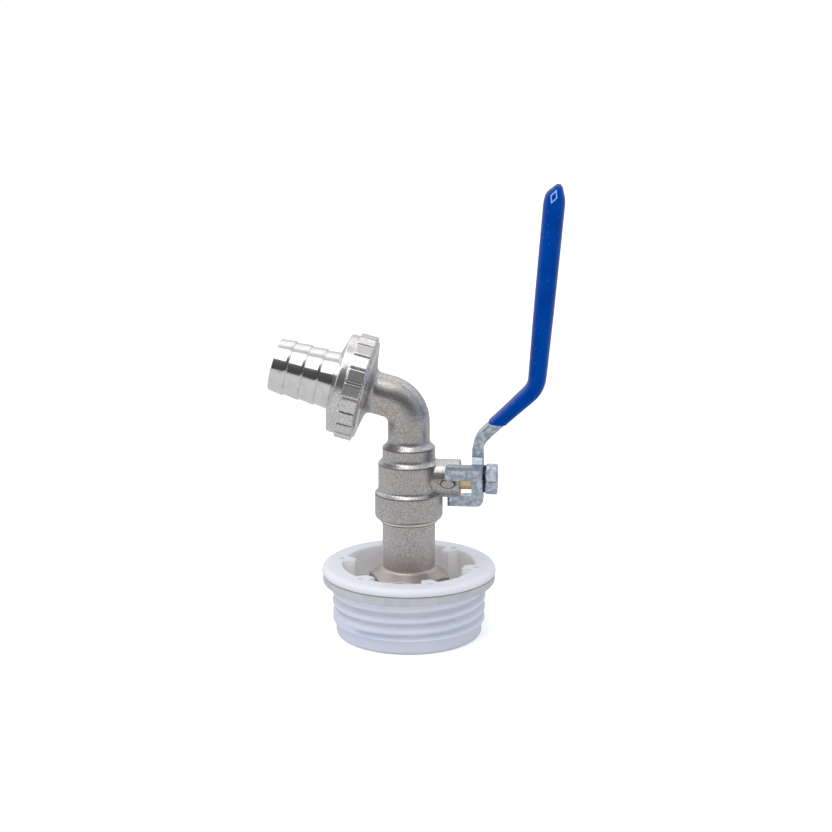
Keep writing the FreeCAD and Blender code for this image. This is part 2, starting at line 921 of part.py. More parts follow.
def make_stem(doc, d, frames):
    body = new_body(doc, "stem")
    tongue_start = d.slot_floor + d.tongue_gap
    neck = d.shoulder_end + d.sheet_thickness
    turned(body, [
        (0, tongue_start),
        (d.stem_radius, tongue_start),
        (d.stem_radius, d.stem_head_start),
        (d.stem_head_radius, d.stem_head_start),
        (d.stem_head_radius, d.stem_head_end),
        (d.stem_radius, d.stem_head_end),
        *groove_points(d, d.ring_first),
        *groove_points(d, d.ring_first + d.ring_step),
        (d.stem_radius, neck),
        (d.stem_thread_radius, neck),
        (d.stem_thread_radius, d.stem_end),
        (0, d.stem_end),
    ])
    doc.recompute()
    flat_sides(body, "tongue", tongue_start, d.stem_head_start - tongue_start,
               d.slot_width - 2 * d.tongue_gap, d.ball_radius, sideways=False)
    doc.recompute()
    flat_sides(body, "neck", d.shoulder_end, d.sheet_thickness, d.stem_flats,
               d.ball_radius, sideways=True)
    put(body, frames.stem)
    return body


def make_thrust_washer(doc, d, frames):
    body = new_body(doc, "stem_thrust_washer")
    inner = d.stem_radius + d.stem_gap
    top = d.stem_head_end + d.thrust_thickness
    turned(body, [
        (inner, d.stem_head_end),
        (d.stem_head_radius, d.stem_head_end),
        (d.stem_head_radius, top),
        (inner, top),
    ])
    put(body, frames.stem)
    return body


def make_stem_rings(doc, d):
    rings = []
    for number, name in enumerate(("stem_o_ring_inner", "stem_o_ring_outer")):
        reach = d.ring_first + number * d.ring_step
        frame = placed((reach, 0, d.stem_height), axis=(0, 1, 0), turn=90)
        rings.append(solid(doc, "Part::Torus", name, frame,
                           Radius1=d.ring_centre, Radius2=d.ring_section))
    return rings


# lever

def lever_lean(d):
    """The angle by which the lever's long end leans out from upright."""
    rise = strip_tip_height(d) - second_bend_height(d)
    return arctangent((d.strip_tip_reach - d.second_bend_reach) / rise)


def lever_route(d, foot, growth=0):
    """The corner points of the strip's centreline in the XZ plane."""
    plate_middle = d.shoulder_end + d.sheet_thickness / 2
    return [
        (plate_middle, foot),
        (plate_middle, first_bend_height(d)),
        (d.second_bend_reach, second_bend_height(d)),
        (d.strip_tip_reach + growth * tangent(lever_lean(d)), strip_tip_height(d) + growth),
    ]


def draw_bar_section(sketch, middle, thickness, width):
    """Draw the flat bar's rectangle about a middle on the sketch's X axis."""
    draw_polygon(sketch, [
        (middle - thickness / 2, -width / 2),
        (middle + thickness / 2, -width / 2),
        (middle + thickness / 2, width / 2),
        (middle - thickness / 2, width / 2),
    ])


def bar_along_route(doc, d, name, thickness, tip_thickness, width, growth=0):
    """Sweep a flat bar along the lever's centreline, with its end rounded off."""
    body = new_body(doc, name)
    foot = d.stem_height + d.strip_foot
    points = lever_route(d, foot, growth)
    route = new_sketch(body, name + "_route", "XZ_Plane")
    draw_route(route, points, [d.first_bend_radius, d.second_bend_radius])
    section = new_sketch(body, name + "_section", "XY_Plane", placed((0, 0, foot)))
    draw_bar_section(section, points[0][0], thickness, width)
    pipe = body.newObject("PartDesign::AdditivePipe", name + "_pipe")
    pipe.Profile = section
    pipe.Spine = (route, ["Edge1", "Edge2", "Edge3", "Edge4", "Edge5"])
    if tip_thickness is not thickness:
        reach, height = points[-1]
        tilted = placed((reach, 0, height), axis=(0, 1, 0), turn=lever_lean(d))
        last = new_sketch(body, name + "_tip_section", "XY_Plane", tilted)
        draw_bar_section(last, as_size(0), tip_thickness, width)
        pipe.Sections = [last]
        pipe.Transformation = "Multisection"
    tip = as_size(points[-1][1]).number

    def end_corners(feature):
        return edges_near(feature, lambda edge, middle: middle.z > tip - tip_thickness.number
                          and abs(abs(middle.y) - width.number / 2) < ON_EDGE
                          and abs(edge.Length - tip_thickness.number) < ON_EDGE)

    end = dressed(body, pipe, end_corners, (width - d.strip_end_flat) / 2, "end")
    return body, end


def edges_near(feature, test):
    """Name the edges that pass a test of the edge and its middle point."""
    names = []
    for number, edge in enumerate(feature.Shape.Edges, 1):
        middle = edge.valueAt((edge.FirstParameter + edge.LastParameter) / 2)
        if test(edge, middle):
            names.append("Edge%d" % number)
    return names


def make_lever(doc, d):
    body, _ = bar_along_route(doc, d, "lever", d.sheet_thickness, d.sheet_thickness, d.strip_width)
    add_plate(body, d)
    ears = add_ears(body, d)
    round_ears(body, d, ears)
    cut_stem_hole(body, d)
    return body


def add_plate(body, d):
    """The head plate that sits on the stem, with a root for each ear."""
    sketch = new_sketch(body, "lever_plate_outline", "YZ_Plane", placed((0, 0, d.shoulder_end)))
    half = d.plate_half
    outer = d.ear_inner + d.sheet_thickness
    middle = d.stem_height
    draw_polygon(sketch, [
        (-half, middle - half + d.plate_corner),
        (-half + d.plate_corner, middle - half),
        (d.ear_near, middle - half),
        (d.ear_near, middle - outer),
        (half, middle - outer),
        (half, middle + half),
        (d.strip_width / 2, middle + half + d.plate_corner),
        (-d.strip_width / 2, middle + half + d.plate_corner),
        (-half, middle + half),
        (-outer, middle + half),
        (-outer, middle + d.ear_near),
        (-half, middle + d.ear_near),
    ])
    raised(body, sketch, d.sheet_thickness, "plate")
    body.Document.recompute()


def add_ears(body, d):
    """The two ears that are bent towards the valve and meet the stop lug."""
    outer = d.ear_inner + d.sheet_thickness
    face = d.shoulder_end + d.sheet_thickness
    middle = d.stem_height
    ears = None
    for name, sides, heights in (
        ("front_ear", (-outer, -d.ear_inner), (middle + d.ear_near, middle + d.plate_half)),
        ("lower_ear", (d.ear_near, d.plate_half), (middle - outer, middle - d.ear_inner)),
    ):
        sketch = new_sketch(body, "lever_" + name + "_outline", "YZ_Plane",
                            placed((0, 0, d.ear_end)))
        draw_polygon(sketch, [
            (sides[0], heights[0]),
            (sides[1], heights[0]),
            (sides[1], heights[1]),
            (sides[0], heights[1]),
        ])
        ears = raised(body, sketch, face - d.ear_end, name)
        body.Document.recompute()
    return ears


def round_ears(body, d, ears):
    """Round the outside of each ear's bend and the corners of its free end."""
    outer = (d.ear_inner + d.sheet_thickness).number
    face = (d.shoulder_end + d.sheet_thickness).number
    half_sheet = (d.sheet_thickness / 2).number
    free_end = d.ear_end.number
    middle = d.stem_height.number

    def bends(feature):
        return edges_near(feature, lambda edge, spot: abs(spot.x - face) < ON_EDGE
                          and (abs(spot.y + outer) < ON_EDGE
                               or abs(spot.z - middle + outer) < ON_EDGE))

    def end_corners(feature):
        return edges_near(feature, lambda edge, spot: abs(spot.x - free_end) < ON_EDGE
                          and (abs(spot.y + outer - half_sheet) < ON_EDGE
                               or abs(spot.z - middle + outer - half_sheet) < ON_EDGE))

    bent = dressed(body, ears, bends, d.ear_bend, "ear_bends")
    dressed(body, bent, end_corners, d.ear_rounding, "ear_ends")
    body.Document.recompute()


def cut_stem_hole(body, d):
    """Cut the round hole with two flats that the end of the stem fits."""
    sketch = new_sketch(body, "lever_hole_outline", "YZ_Plane", placed((0, 0, d.shoulder_end)))
    draw_two_flats(sketch, d.stem_height, d.stem_radius + d.hole_gap,
                   d.stem_flats / 2 + d.hole_gap)
    raised(body, sketch, d.sheet_thickness, "hole", kind="PartDesign::Pocket", reverse=True)


def draw_two_flats(sketch, height, radius, half):
    """Draw a circle on the sketch's vertical axis that is cut off by a flat on each side."""
    rise = math.sqrt(radius.number ** 2 - half.number ** 2)
    middle = height.number
    right = FreeCAD.Vector(half.number, 0, 0)
    up = FreeCAD.Vector(0, rise, 0)
    centre = FreeCAD.Vector(0, middle, 0)
    crown = FreeCAD.Vector(0, radius.number, 0)
    side = sketch.addGeometry(Part.LineSegment(centre + right - up, centre + right + up))
    top = sketch.addGeometry(Part.Arc(centre + right + up, centre + crown, centre - right + up))
    other = sketch.addGeometry(Part.LineSegment(centre - right + up, centre - right - up))
    low = sketch.addGeometry(Part.Arc(centre - right - up, centre - crown, centre + right - up))
    for line, arc in ((side, top), (side, low), (other, top), (other, low)):
        join_tips(sketch, line, arc)
    for arc in (top, low):
        hold(sketch, "DistanceX", arc, 3, 0)
        hold(sketch, "DistanceY", arc, 3, height)
        datum = sketch.addConstraint(Sketcher.Constraint("Radius", arc, radius.number))
        sketch.setExpression("Constraints[%d]" % datum, radius.text)
    for line, reach in ((side, half), (other, -half)):
        hold(sketch, "DistanceX", line, 1, reach)
        hold(sketch, "DistanceX", line, 2, reach)


def join_tips(sketch, line, arc):
    """Join the two nearest ends of a line and an arc."""
    pairs = [(end, tip) for end in (1, 2) for tip in (1, 2)]
    end, tip = min(pairs, key=lambda pair: (sketch.getPoint(line, pair[0])
                                            - sketch.getPoint(arc, pair[1])).Length)
    sketch.addConstraint(Sketcher.Constraint("Coincident", line, end, arc, tip))


def make_grip(doc, d, lever):
    """The soft sleeve that the lever is dipped in, cut level at its lower end."""
    thickness = d.sheet_thickness + 2 * d.grip_skin
    tip_thickness = d.sheet_thickness + 2 * d.grip_tip_skin
    width = d.strip_width + 2 * d.grip_side
    body, end = bar_along_route(doc, d, "grip_bar", thickness, tip_thickness, width, d.grip_tip)
    foot = (d.stem_height + d.strip_foot).number

    def long_edges(feature):
        return edges_near(feature, lambda edge, middle: middle.z > foot + ON_EDGE
                          and abs(middle.y) > ON_EDGE)

    doc.recompute()
    rounded = dressed(body, end, long_edges, d.grip_rounding, "rounding")
    reach = d.strip_tip_reach + width
    below = solid(doc, "Part::Box", "grip_below",
                  placed((0, -width, d.stem_height - d.ear_inner)),
                  Length=reach, Width=2 * width,
                  Height=grip_start(d) - d.stem_height + d.ear_inner)
    sleeve = cut(doc, "grip_sleeve", body, below)
    return cut(doc, "lever_grip", sleeve, lever)


# washer and nut on the stem

def make_lock_washer(doc, d, frames):
    body = new_body(doc, "lock_washer")
    low = d.shoulder_end + d.sheet_thickness
    inner = d.stem_thread_radius + d.hole_gap
    turned(body, [
        (inner, low),
        (d.lock_radius, low),
        (d.lock_radius, low + d.lock_thickness),
        (inner, low + d.lock_thickness),
    ])
    doc.recompute()
    sketch = new_sketch(body, "lock_washer_split", "XY_Plane", placed((0, 0, low)))
    draw_polygon(sketch, [
        (-d.lock_gap / 2, 0),
        (d.lock_gap / 2, 0),
        (d.lock_gap, d.lock_radius + d.lock_gap),
        (0, d.lock_radius + d.lock_gap),
    ])
    raised(body, sketch, d.lock_thickness, "split_cut", kind="PartDesign::Pocket", reverse=True)
    put(body, frames.stem)
    return body


def make_lever_nut(doc, d, frames):
    body = new_body(doc, "lever_nut")
    low = d.shoulder_end + d.sheet_thickness + d.lock_thickness
    high = low + d.nut_thickness
    corner = d.nut_flats / 2 / cosine(as_size(HEX_HALF_ANGLE))
    sketch = new_sketch(body, "lever_nut_outline", "XY_Plane", placed((0, 0, low)))
    angles = [as_size((2 * number + 1) * HEX_HALF_ANGLE) for number in range(6)]
    draw_polygon(sketch, [(corner * cosine(angle), corner * sine(angle)) for angle in angles])
    draw_circle(sketch, (0, 0), d.stem_thread_radius + d.hole_gap)
    raised(body, sketch, d.nut_thickness, "pad")
    doc.recompute()
    flat = d.nut_flats / 2
    outside = 2 * corner - flat
    drop = (outside - flat) * tangent(d.nut_bevel_angle)
    for name, face, inward in (("outer_bevel", high, -1), ("inner_bevel", low, 1)):
        turned(body, [
            (flat, face),
            (outside, face),
            (outside, face + inward * drop),
        ], name, kind="PartDesign::Groove")
        doc.recompute()
    put(body, frames.stem)
    return body


# outlet union

def tail_seat(d):
    return d.outlet_end + d.seal_thickness


def make_outlet_seal(doc, d, frames):
    body = new_body(doc, "outlet_seal")
    turned(body, [
        (d.tail_bore, d.outlet_end),
        (d.seal_radius, d.outlet_end),
        (d.seal_radius, tail_seat(d)),
        (d.tail_bore, tail_seat(d)),
    ])
    put(body, frames.outlet)
    return body


def barb_points(d):
    """The sawtooth outline of the hose barbs, from the union to the tip."""
    points = []
    count = int(d.barb_count.number)
    first = d.tail_end - d.barb_count * d.barb_length
    for number in range(count):
        crest = d.barb_crest_radius - number * d.barb_taper
        start = first + number * d.barb_length
        foot = d.tail_end - d.barb_lead if number == count - 1 else start + d.barb_length
        points += [
            (crest, start),
            (crest, start + d.barb_land),
            (crest - d.barb_rise, foot),
        ]
    return points


def make_hose_tail(doc, d, frames):
    body = new_body(doc, "hose_tail")
    first = d.tail_end - d.barb_count * d.barb_length
    tip = d.barb_crest_radius - (d.barb_count - 1) * d.barb_taper - d.barb_rise - d.barb_lead
    turned(body, [
        (d.tail_bore, tail_seat(d)),
        (d.tail_flange_radius, tail_seat(d)),
        (d.tail_flange_radius, tail_seat(d) + d.tail_flange),
        (d.tail_neck_radius, tail_seat(d) + d.tail_flange),
        (d.tail_neck_radius, first),
        *barb_points(d),
        (tip, d.tail_end),
        (d.tail_bore, d.tail_end),
    ])
    put(body, frames.outlet)
    return body


def make_union_nut(doc, d, frames):
    body = new_body(doc, "union_nut")
    inner = d.outlet_thread_radius + d.union_gap
    wall = tail_seat(d) + d.tail_flange + d.union_gap
    rim = d.union_start + d.union_rear_dish
    start = rim + d.union_rear_chamfer
    turned(body, [
        (inner, d.union_start),
        (d.union_radius - d.union_rear_chamfer, rim),
        (d.union_radius, start),
        (d.union_radius, d.union_ring_end),
        (d.union_hole_radius, d.union_front),
        (d.union_hole_radius, wall),
        (inner, wall),
    ])
    doc.recompute()
    offset = placed((0, 0, start), turn=d.land_phase)
    sketch = new_sketch(body, "union_nut_land_outline", "XY_Plane", offset)
    draw_land(sketch, d)
    land = raised(body, sketch, d.union_ring_start - start, "land")
    repeated(body, land, d.land_count, "lands")
    put(body, frames.outlet)
    return body


def draw_land(sketch, d):
    """Draw one flat-topped land of the nut, half a slit short of its neighbours."""
    top = d.union_radius + d.land_height
    base = d.union_radius - d.land_depth
    half_share = as_size(HALF_TURN) / d.land_count
    half_slit = d.land_gap / 2 / cosine(half_share)
    half_top = top * tangent(half_share) - half_slit
    half_base = base * tangent(half_share) - half_slit
    draw_polygon(sketch, [
        (base, -half_base),
        (top, -half_top),
        (top, half_top),
        (base, half_base),
    ])


def check(doc, nodes):
    """Stop before anything is written if a feature failed or a piece is no valid solid."""
    for item in doc.Objects:
        if "Invalid" in item.State or "Error" in item.State:
            raise RuntimeError("%s failed: %s" % (item.Name, item.State))
    for node in nodes:
        if node.Shape.isNull() or not node.Shape.isValid() or not node.Shape.Solids:
            raise RuntimeError("%s is no valid solid" % node.Label)


def main():
    doc = FreeCAD.newDocument("drum_bung_tap")
    d = make_sheet(doc)
    frames = make_frames(d)
    nodes = [make_bung(doc, d), make_gasket(doc, d), make_washer(doc, d), make_spigot(doc, d)]
    nodes += [make_joint_seal(doc, d), make_valve_body(doc, d, frames), make_ball(doc, d)]
    nodes += make_seats(doc, d)
    nodes += [make_stem(doc, d, frames), make_thrust_washer(doc, d, frames)]
    nodes += make_stem_rings(doc, d)
    lever = make_lever(doc, d)
    nodes += [lever, make_grip(doc, d, lever), make_lock_washer(doc, d, frames)]
    nodes += [make_lever_nut(doc, d, frames), make_outlet_seal(doc, d, frames)]
    nodes += [make_hose_tail(doc, d, frames), make_union_nut(doc, d, frames)]
    doc.recompute()
    check(doc, nodes)
    os.makedirs("parts", exist_ok=True)
    for node in nodes:
        node.Shape.exportStep("parts/" + node.Label + ".step")
        print(node.Label, len(node.Shape.Solids), round(node.Shape.Volume, 1))


main()
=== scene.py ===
import math

import bmesh
import bpy
import numpy as np
from mathutils import Matrix, Vector


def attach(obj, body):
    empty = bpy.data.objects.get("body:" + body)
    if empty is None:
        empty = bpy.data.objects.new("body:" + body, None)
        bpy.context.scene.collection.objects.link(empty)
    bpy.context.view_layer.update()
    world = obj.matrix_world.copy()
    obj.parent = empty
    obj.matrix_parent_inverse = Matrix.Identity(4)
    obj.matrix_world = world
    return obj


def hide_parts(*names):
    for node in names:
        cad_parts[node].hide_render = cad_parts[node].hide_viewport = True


# A drum bung tap. Outlines are in millimetres, in the same frame as the CAD part:
# +Z up the inlet tube from the bung's bottom rim, +X along the valve stem to the lever,
# the outlet towards -X and the viewer at -Y.

MM = 0.001
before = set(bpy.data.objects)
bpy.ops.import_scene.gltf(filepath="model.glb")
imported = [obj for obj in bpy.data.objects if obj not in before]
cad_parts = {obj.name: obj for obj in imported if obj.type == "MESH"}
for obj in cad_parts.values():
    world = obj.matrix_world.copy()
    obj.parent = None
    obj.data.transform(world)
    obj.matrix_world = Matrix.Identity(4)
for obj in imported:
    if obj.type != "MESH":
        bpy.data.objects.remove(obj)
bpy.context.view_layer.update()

STEM_HEIGHT = 57.0
AXES_CROSS = 84.4
OUTLET_TILT = 15.0
LUG_PHASE = -7.2
FULL_TURN = 2 * math.pi

UPRIGHT = Matrix.Identity(4)
ALONG_STEM = Matrix.Translation((0, 0, STEM_HEIGHT)) @ Matrix.Rotation(math.radians(90), 4, "Y")
ALONG_OUTLET = (Matrix.Translation((0, 0, AXES_CROSS))
                @ Matrix.Rotation(math.radians(OUTLET_TILT - 90), 4, "Y"))


# Outlines and meshes

def unit(vector):
    return vector / np.linalg.norm(vector)


def rounded(corners, steps=4):
    """A closed outline from (radius, height, rounding) corners, as an array of points."""
    points = []
    count = len(corners)
    for index, (r, z, rounding) in enumerate(corners):
        here = np.array((r, z), float)
        if not rounding:
            points.append(here)
            continue
        before = unit(np.array(corners[index - 1][:2], float) - here)
        after = unit(np.array(corners[(index + 1) % count][:2], float) - here)
        half = math.acos(np.clip(before @ after, -1, 1)) / 2
        centre = here + unit(before + after) * rounding / math.sin(half)
        start = unit(here + before * rounding / math.tan(half) - centre)
        end = unit(here + after * rounding / math.tan(half) - centre)
        sweep = math.acos(np.clip(start @ end, -1, 1))
        for step in range(steps + 1):
            share = step / steps
            arm = (math.sin((1 - share) * sweep) * start + math.sin(share * sweep) * end)
            points.append(centre + arm / math.sin(sweep) * rounding)
    return np.array(points)


def make_piece(name, points, faces, place, body, nodes):
    """A smooth shaded object from points in millimetres."""
    mesh = bpy.data.meshes.new(name)
    mesh.from_pydata(points, [], faces)
    shape = bmesh.new()
    shape.from_mesh(mesh)
    bmesh.ops.recalc_face_normals(shape, faces=shape.faces)
    shape.to_mesh(mesh)
    shape.free()
    mesh.transform(Matrix.Scale(MM, 4) @ place)
    mesh.shade_smooth()
    item = bpy.data.objects.new(name, mesh)
    bpy.context.scene.collection.objects.link(item)
    weighted = item.modifiers.new("weighted", "WEIGHTED_NORMAL")
    weighted.weight = 90
    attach(item, body)
    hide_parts(*nodes)
    return item


def closed_grid(name, points, place, body, nodes):
    """A ring-shaped piece from points[angle, outline, xyz], closed both ways."""
    rows, columns = points.shape[:2]
    index = np.arange(rows * columns).reshape(rows, columns)
    right = np.roll(index, -1, 0)
    quads = np.stack([index, right, np.roll(right, -1, 1), np.roll(index, -1, 1)], -1)
    return make_piece(name, points.reshape(-1, 3).tolist(), quads.reshape(-1, 4).tolist(),
                      place, body, nodes)


def turned(name, outline, place, body, nodes, angles=144, shape=None):
    """Turn a closed outline about the Z axis of a place; shape may bend it at each angle.

    The angles are a count of even steps or a rising array of them.
    """
    if isinstance(angles, int):
        angles = np.linspace(0, FULL_TURN, angles, endpoint=False)
    angle = angles[:, None]
    radius = np.repeat(outline[None, :, 0], len(angles), 0)
    height = np.repeat(outline[None, :, 1], len(angles), 0)
    if shape:
        radius, height = shape(angle, radius, height)
    points = np.stack([radius * np.cos(angle), radius * np.sin(angle), height], -1)
    return closed_grid(name, points, place, body, nodes)


def swept_tube(name, rings, place, body, nodes):
    """A closed skin over rings[along, around, xyz], with a point in the middle of each end."""
    count, around = rings.shape[:2]
    index = np.arange(count * around).reshape(count, around)
    turn = np.roll(index, -1, 1)
    quads = np.stack([index[:-1], turn[:-1], turn[1:], index[1:]], -1).reshape(-1, 4).tolist()
    points = rings.reshape(-1, 3).tolist()
    for end in (0, -1):
        points.append(rings[end].mean(0).tolist())
        middle = len(points) - 1
        quads += [(middle, int(a), int(b)) for a, b in zip(index[end], turn[end])]
    return make_piece(name, points, quads, place, body, nodes)


def smoothstep(low, high, value):
    share = np.clip((value - low) / (high - low), 0, 1)
    return share * share * (3 - 2 * share)


# Drum bung

BUNG_TOP = 25.2
FLANGE_RADIUS = 31.29
FLANGE_BOTTOM = 22.5
GASKET_RADIUS = 31.0
THREAD_TOP = 19.1
THREAD_FOOT = 5.0
CREST_AT_TOP = 27.9
CREST_AT_FOOT = 27.4
PITCH = 4.05
PILOT_RADIUS = 26.3
UNDERSIDE = 2.5
UNDERSIDE_RADIUS = 23.7
FLOOR_TOP = 5.5
SOCKET_TOP = 18.2
SOCKET_BORE = 10.48
SOCKET_RADIUS = 13.6
RECESS_RADIUS = 23.8
RECESS_ROUNDING = 0.5
LUG_FADE_RADIUS = 24.9
DIMPLE_CIRCLE = 24.7
DIMPLE_RADIUS = 0.95
DIMPLE_DEPTH = 0.45


def recess_outline(angle):
    """The radius of the recess wall at an angle, with six lugs whose corners are softened."""
    samples = 2880
    around = np.linspace(0, FULL_TURN, samples, endpoint=False)
    lug = np.radians(60)
    offset = np.mod(around - np.radians(LUG_PHASE) + lug / 2, lug) - lug / 2
    tip, half_tip, back, half_back = 19.6, 2.05, 24.3, 4.9
    slope = (half_back - half_tip) / (back - tip)
    side = np.tan(np.abs(offset))
    on_side = (half_tip - slope * tip) / (side - slope)
    flank = np.hypot(on_side, on_side * side)
    reach = np.where(side * tip < half_tip, tip / np.cos(offset), flank)
    reach = np.where((side * tip >= half_tip) & ((side <= slope) | (flank > RECESS_RADIUS)),
                     RECESS_RADIUS, reach)
    reach = np.minimum(reach, RECESS_RADIUS)
    kernel = np.exp(-0.5 * (np.arange(-16, 17) / 5.0) ** 2)
    soft = np.convolve(np.r_[reach[-16:], reach, reach[:16]], kernel / kernel.sum(), "valid")
    return np.interp(np.mod(angle, FULL_TURN), np.r_[around, FULL_TURN], np.r_[soft, soft[0]])


def thread_dip(angle, height):
    """How far the drum thread's root is sunk at each point of the skirt."""
    start_height, start_angle, turns = 5.9, math.radians(217), 2.864
    depth, half_width, fade_turns = 1.8, 0.98, 0.07
    lead = (angle - start_angle) / FULL_TURN
    dip = np.zeros_like(height)
    for turn in range(-1, 5):
        along = lead + turn
        fade = smoothstep(0, fade_turns, along) * smoothstep(0, fade_turns, turns - along)
        gap = np.abs(height - start_height - PITCH * along)
        dip = np.maximum(dip, fade * np.exp(-(gap / half_width) ** 2.3))
    return depth * dip


def bung_shape(angle, radius, height):
    """Bend the turned outline of the bung into its lugs, dimples and thread."""
    wall = np.broadcast_to(recess_outline(angle), radius.shape)
    inside = ((radius > SOCKET_RADIUS + 1) & (radius < LUG_FADE_RADIUS)
              & (height > FLOOR_TOP - 0.01))
    share = np.clip((LUG_FADE_RADIUS - radius) / (LUG_FADE_RADIUS - RECESS_RADIUS), 0, 1)
    radius = np.where(inside, radius + (wall - RECESS_RADIUS) * share, radius)
    on_skirt = ((radius > PILOT_RADIUS + 0.5) & (height < THREAD_TOP - 0.05)
                & (height > THREAD_FOOT + 0.05))
    radius = np.where(on_skirt, radius - thread_dip(angle, height), radius)
    on_top = height > BUNG_TOP - 0.02
    for lug in range(6):
        place = math.radians(LUG_PHASE + 60 * lug)
        gap = np.hypot(radius * np.cos(angle) - DIMPLE_CIRCLE * math.cos(place),
                       radius * np.sin(angle) - DIMPLE_CIRCLE * math.sin(place))
        sink = DIMPLE_DEPTH * (1 - smoothstep(DIMPLE_RADIUS - 0.35, DIMPLE_RADIUS + 0.2, gap))
        height = np.where(on_top, height - sink, height)
    return radius, height


def make_bung():
    ends = (THREAD_FOOT, THREAD_TOP), (CREST_AT_FOOT, CREST_AT_TOP)
    skirt = [(np.interp(z, *ends), z, 0) for z in np.linspace(THREAD_TOP - 0.25, THREAD_FOOT + 0.35, 52)]
    wall = [(RECESS_RADIUS, z, 0) for z in (6.0, 12.0, 18.0, 23.5)]
    top = [(r, BUNG_TOP, 0) for r in np.linspace(24.35, 26.1, 9)]
    outline = rounded([
        (SOCKET_BORE, UNDERSIDE, 0), (SOCKET_BORE, SOCKET_TOP, 0),
        (SOCKET_RADIUS, SOCKET_TOP, 0.4), (SOCKET_RADIUS, FLOOR_TOP, 0.4),
        (RECESS_RADIUS, FLOOR_TOP, 0), *wall, (RECESS_RADIUS, BUNG_TOP, RECESS_ROUNDING),
        *top, (FLANGE_RADIUS, BUNG_TOP, 2.2), (FLANGE_RADIUS, FLANGE_BOTTOM, 0.35),
        (CREST_AT_TOP, FLANGE_BOTTOM, 0), (CREST_AT_TOP, THREAD_TOP, 0), *skirt,
        (CREST_AT_FOOT, THREAD_FOOT, 0.3), (PILOT_RADIUS, THREAD_FOOT, 0.25), (PILOT_RADIUS, 0, 0.9),
        (UNDERSIDE_RADIUS, 0, 0.5), (UNDERSIDE_RADIUS, UNDERSIDE, 0),
    ])
    return turned("bung", outline, UPRIGHT, "root", ["bung_body"],
                  angles=840, shape=bung_shape)


def make_gasket():
    outline = rounded([
        (CREST_AT_TOP, THREAD_TOP, 0.3), (GASKET_RADIUS, THREAD_TOP, 0.7),
        (GASKET_RADIUS, FLANGE_BOTTOM, 0.55), (CREST_AT_TOP, FLANGE_BOTTOM, 0),
    ])
    return turned("gasket", outline, UPRIGHT, "root", ["flange_gasket"],
                  angles=256)


# Inlet spigot

TUBE_RADIUS = 9.45
TUBE_BORE = 5.5
TAIL_RADIUS = 10.45
HEX_FLATS = 26.2
HEX_HALF = HEX_FLATS / 2
HEX_BOTTOM = 19.4
HEX_RIM = 20.9
HEX_TOP = 23.8
HEX_CONE = 14.4
JOINT_RADIUS = 10.3
JOINT_FOOT = 41.0
JOINT_TOP = 42.2


def lesser(first, second, rounding):
    """The smaller of two values, with the change from one to the other rounded off."""
    return -np.log(np.exp(-first / rounding) + np.exp(-second / rounding)) * rounding


def hexagon(angle, flats, phase, rounding):
    """The radius of a hexagon whose corners are cut a little and softened, at an angle."""
    offset = np.mod(angle - math.radians(phase) + math.pi / 6, math.pi / 3) - math.pi / 6
    corner_share = 0.878
    return lesser(flats / 2 / np.cos(math.pi / 6 - np.abs(offset)), flats / 2 / corner_share, rounding)


def spigot_shape(angle, radius, height):
    """Pull the collar above the thread out to its hexagon, with a cone up to the tube."""
    collar = (radius > TUBE_RADIUS - 0.1) & (height > HEX_BOTTOM - 0.01) & (height < HEX_TOP + 0.4)
    share = np.clip((radius - TUBE_RADIUS) / (HEX_HALF - TUBE_RADIUS), 0, 1)
    wall = TUBE_RADIUS + (hexagon(angle, HEX_FLATS, LUG_PHASE, 0.21) - TUBE_RADIUS) * share
    climb = (height - HEX_RIM) / (HEX_TOP - HEX_RIM)
    cone = HEX_CONE + (TUBE_RADIUS - HEX_CONE) * climb
    slope = np.maximum(np.minimum(hexagon(angle, HEX_FLATS, LUG_PHASE, 0.1), cone), TUBE_RADIUS)
    raised = np.where(height < HEX_RIM + 0.01, wall, slope)
    return np.where(collar, raised, radius), height


def make_spigot():
    foot, end, end_radius = 3.2, 50.0, 9.6
    slope = [(TUBE_RADIUS, z, 0) for z in np.linspace(HEX_RIM + 0.1, HEX_TOP + 0.3, 14)]
    outline = rounded([
        (TUBE_BORE, foot, 0.4), (TAIL_RADIUS, foot, 0.5), (TAIL_RADIUS, HEX_BOTTOM, 0),
        (HEX_HALF, HEX_BOTTOM, 0.25), (HEX_HALF, HEX_RIM, 0.18), *slope,
        (TUBE_RADIUS, HEX_TOP + 0.6, 0), (TUBE_RADIUS, 32.0, 0), (TUBE_RADIUS, JOINT_FOOT, 0.1),
        (JOINT_RADIUS, JOINT_FOOT, 0.35), (JOINT_RADIUS, JOINT_TOP, 0.1),
        (end_radius, JOINT_TOP, 0), (end_radius, end, 0), (TUBE_BORE, end, 0),
    ])
    return turned("spigot", outline, UPRIGHT, "root", ["inlet_spigot"],
                  angles=360, shape=spigot_shape)


# Outlet union

LAND_COUNT = 22
LAND_PHASE = math.radians(-1.4)
LAND_FACE = 18.9
NUT_BODY = 17.75


def union_angles():
    """Turning angles that crowd together at the grooves between the lands."""
    half = 180 / LAND_COUNT
    side = np.array((1.5, 3.5, 5.5, 6.3, 6.75, 7.0, 7.2, 7.4, 7.6, 7.85))
    within = np.r_[-side[::-1], 0, side, half]
    turn = [np.radians(within + 2 * half * land) + LAND_PHASE for land in range(LAND_COUNT)]
    return np.sort(np.concatenate(turn))


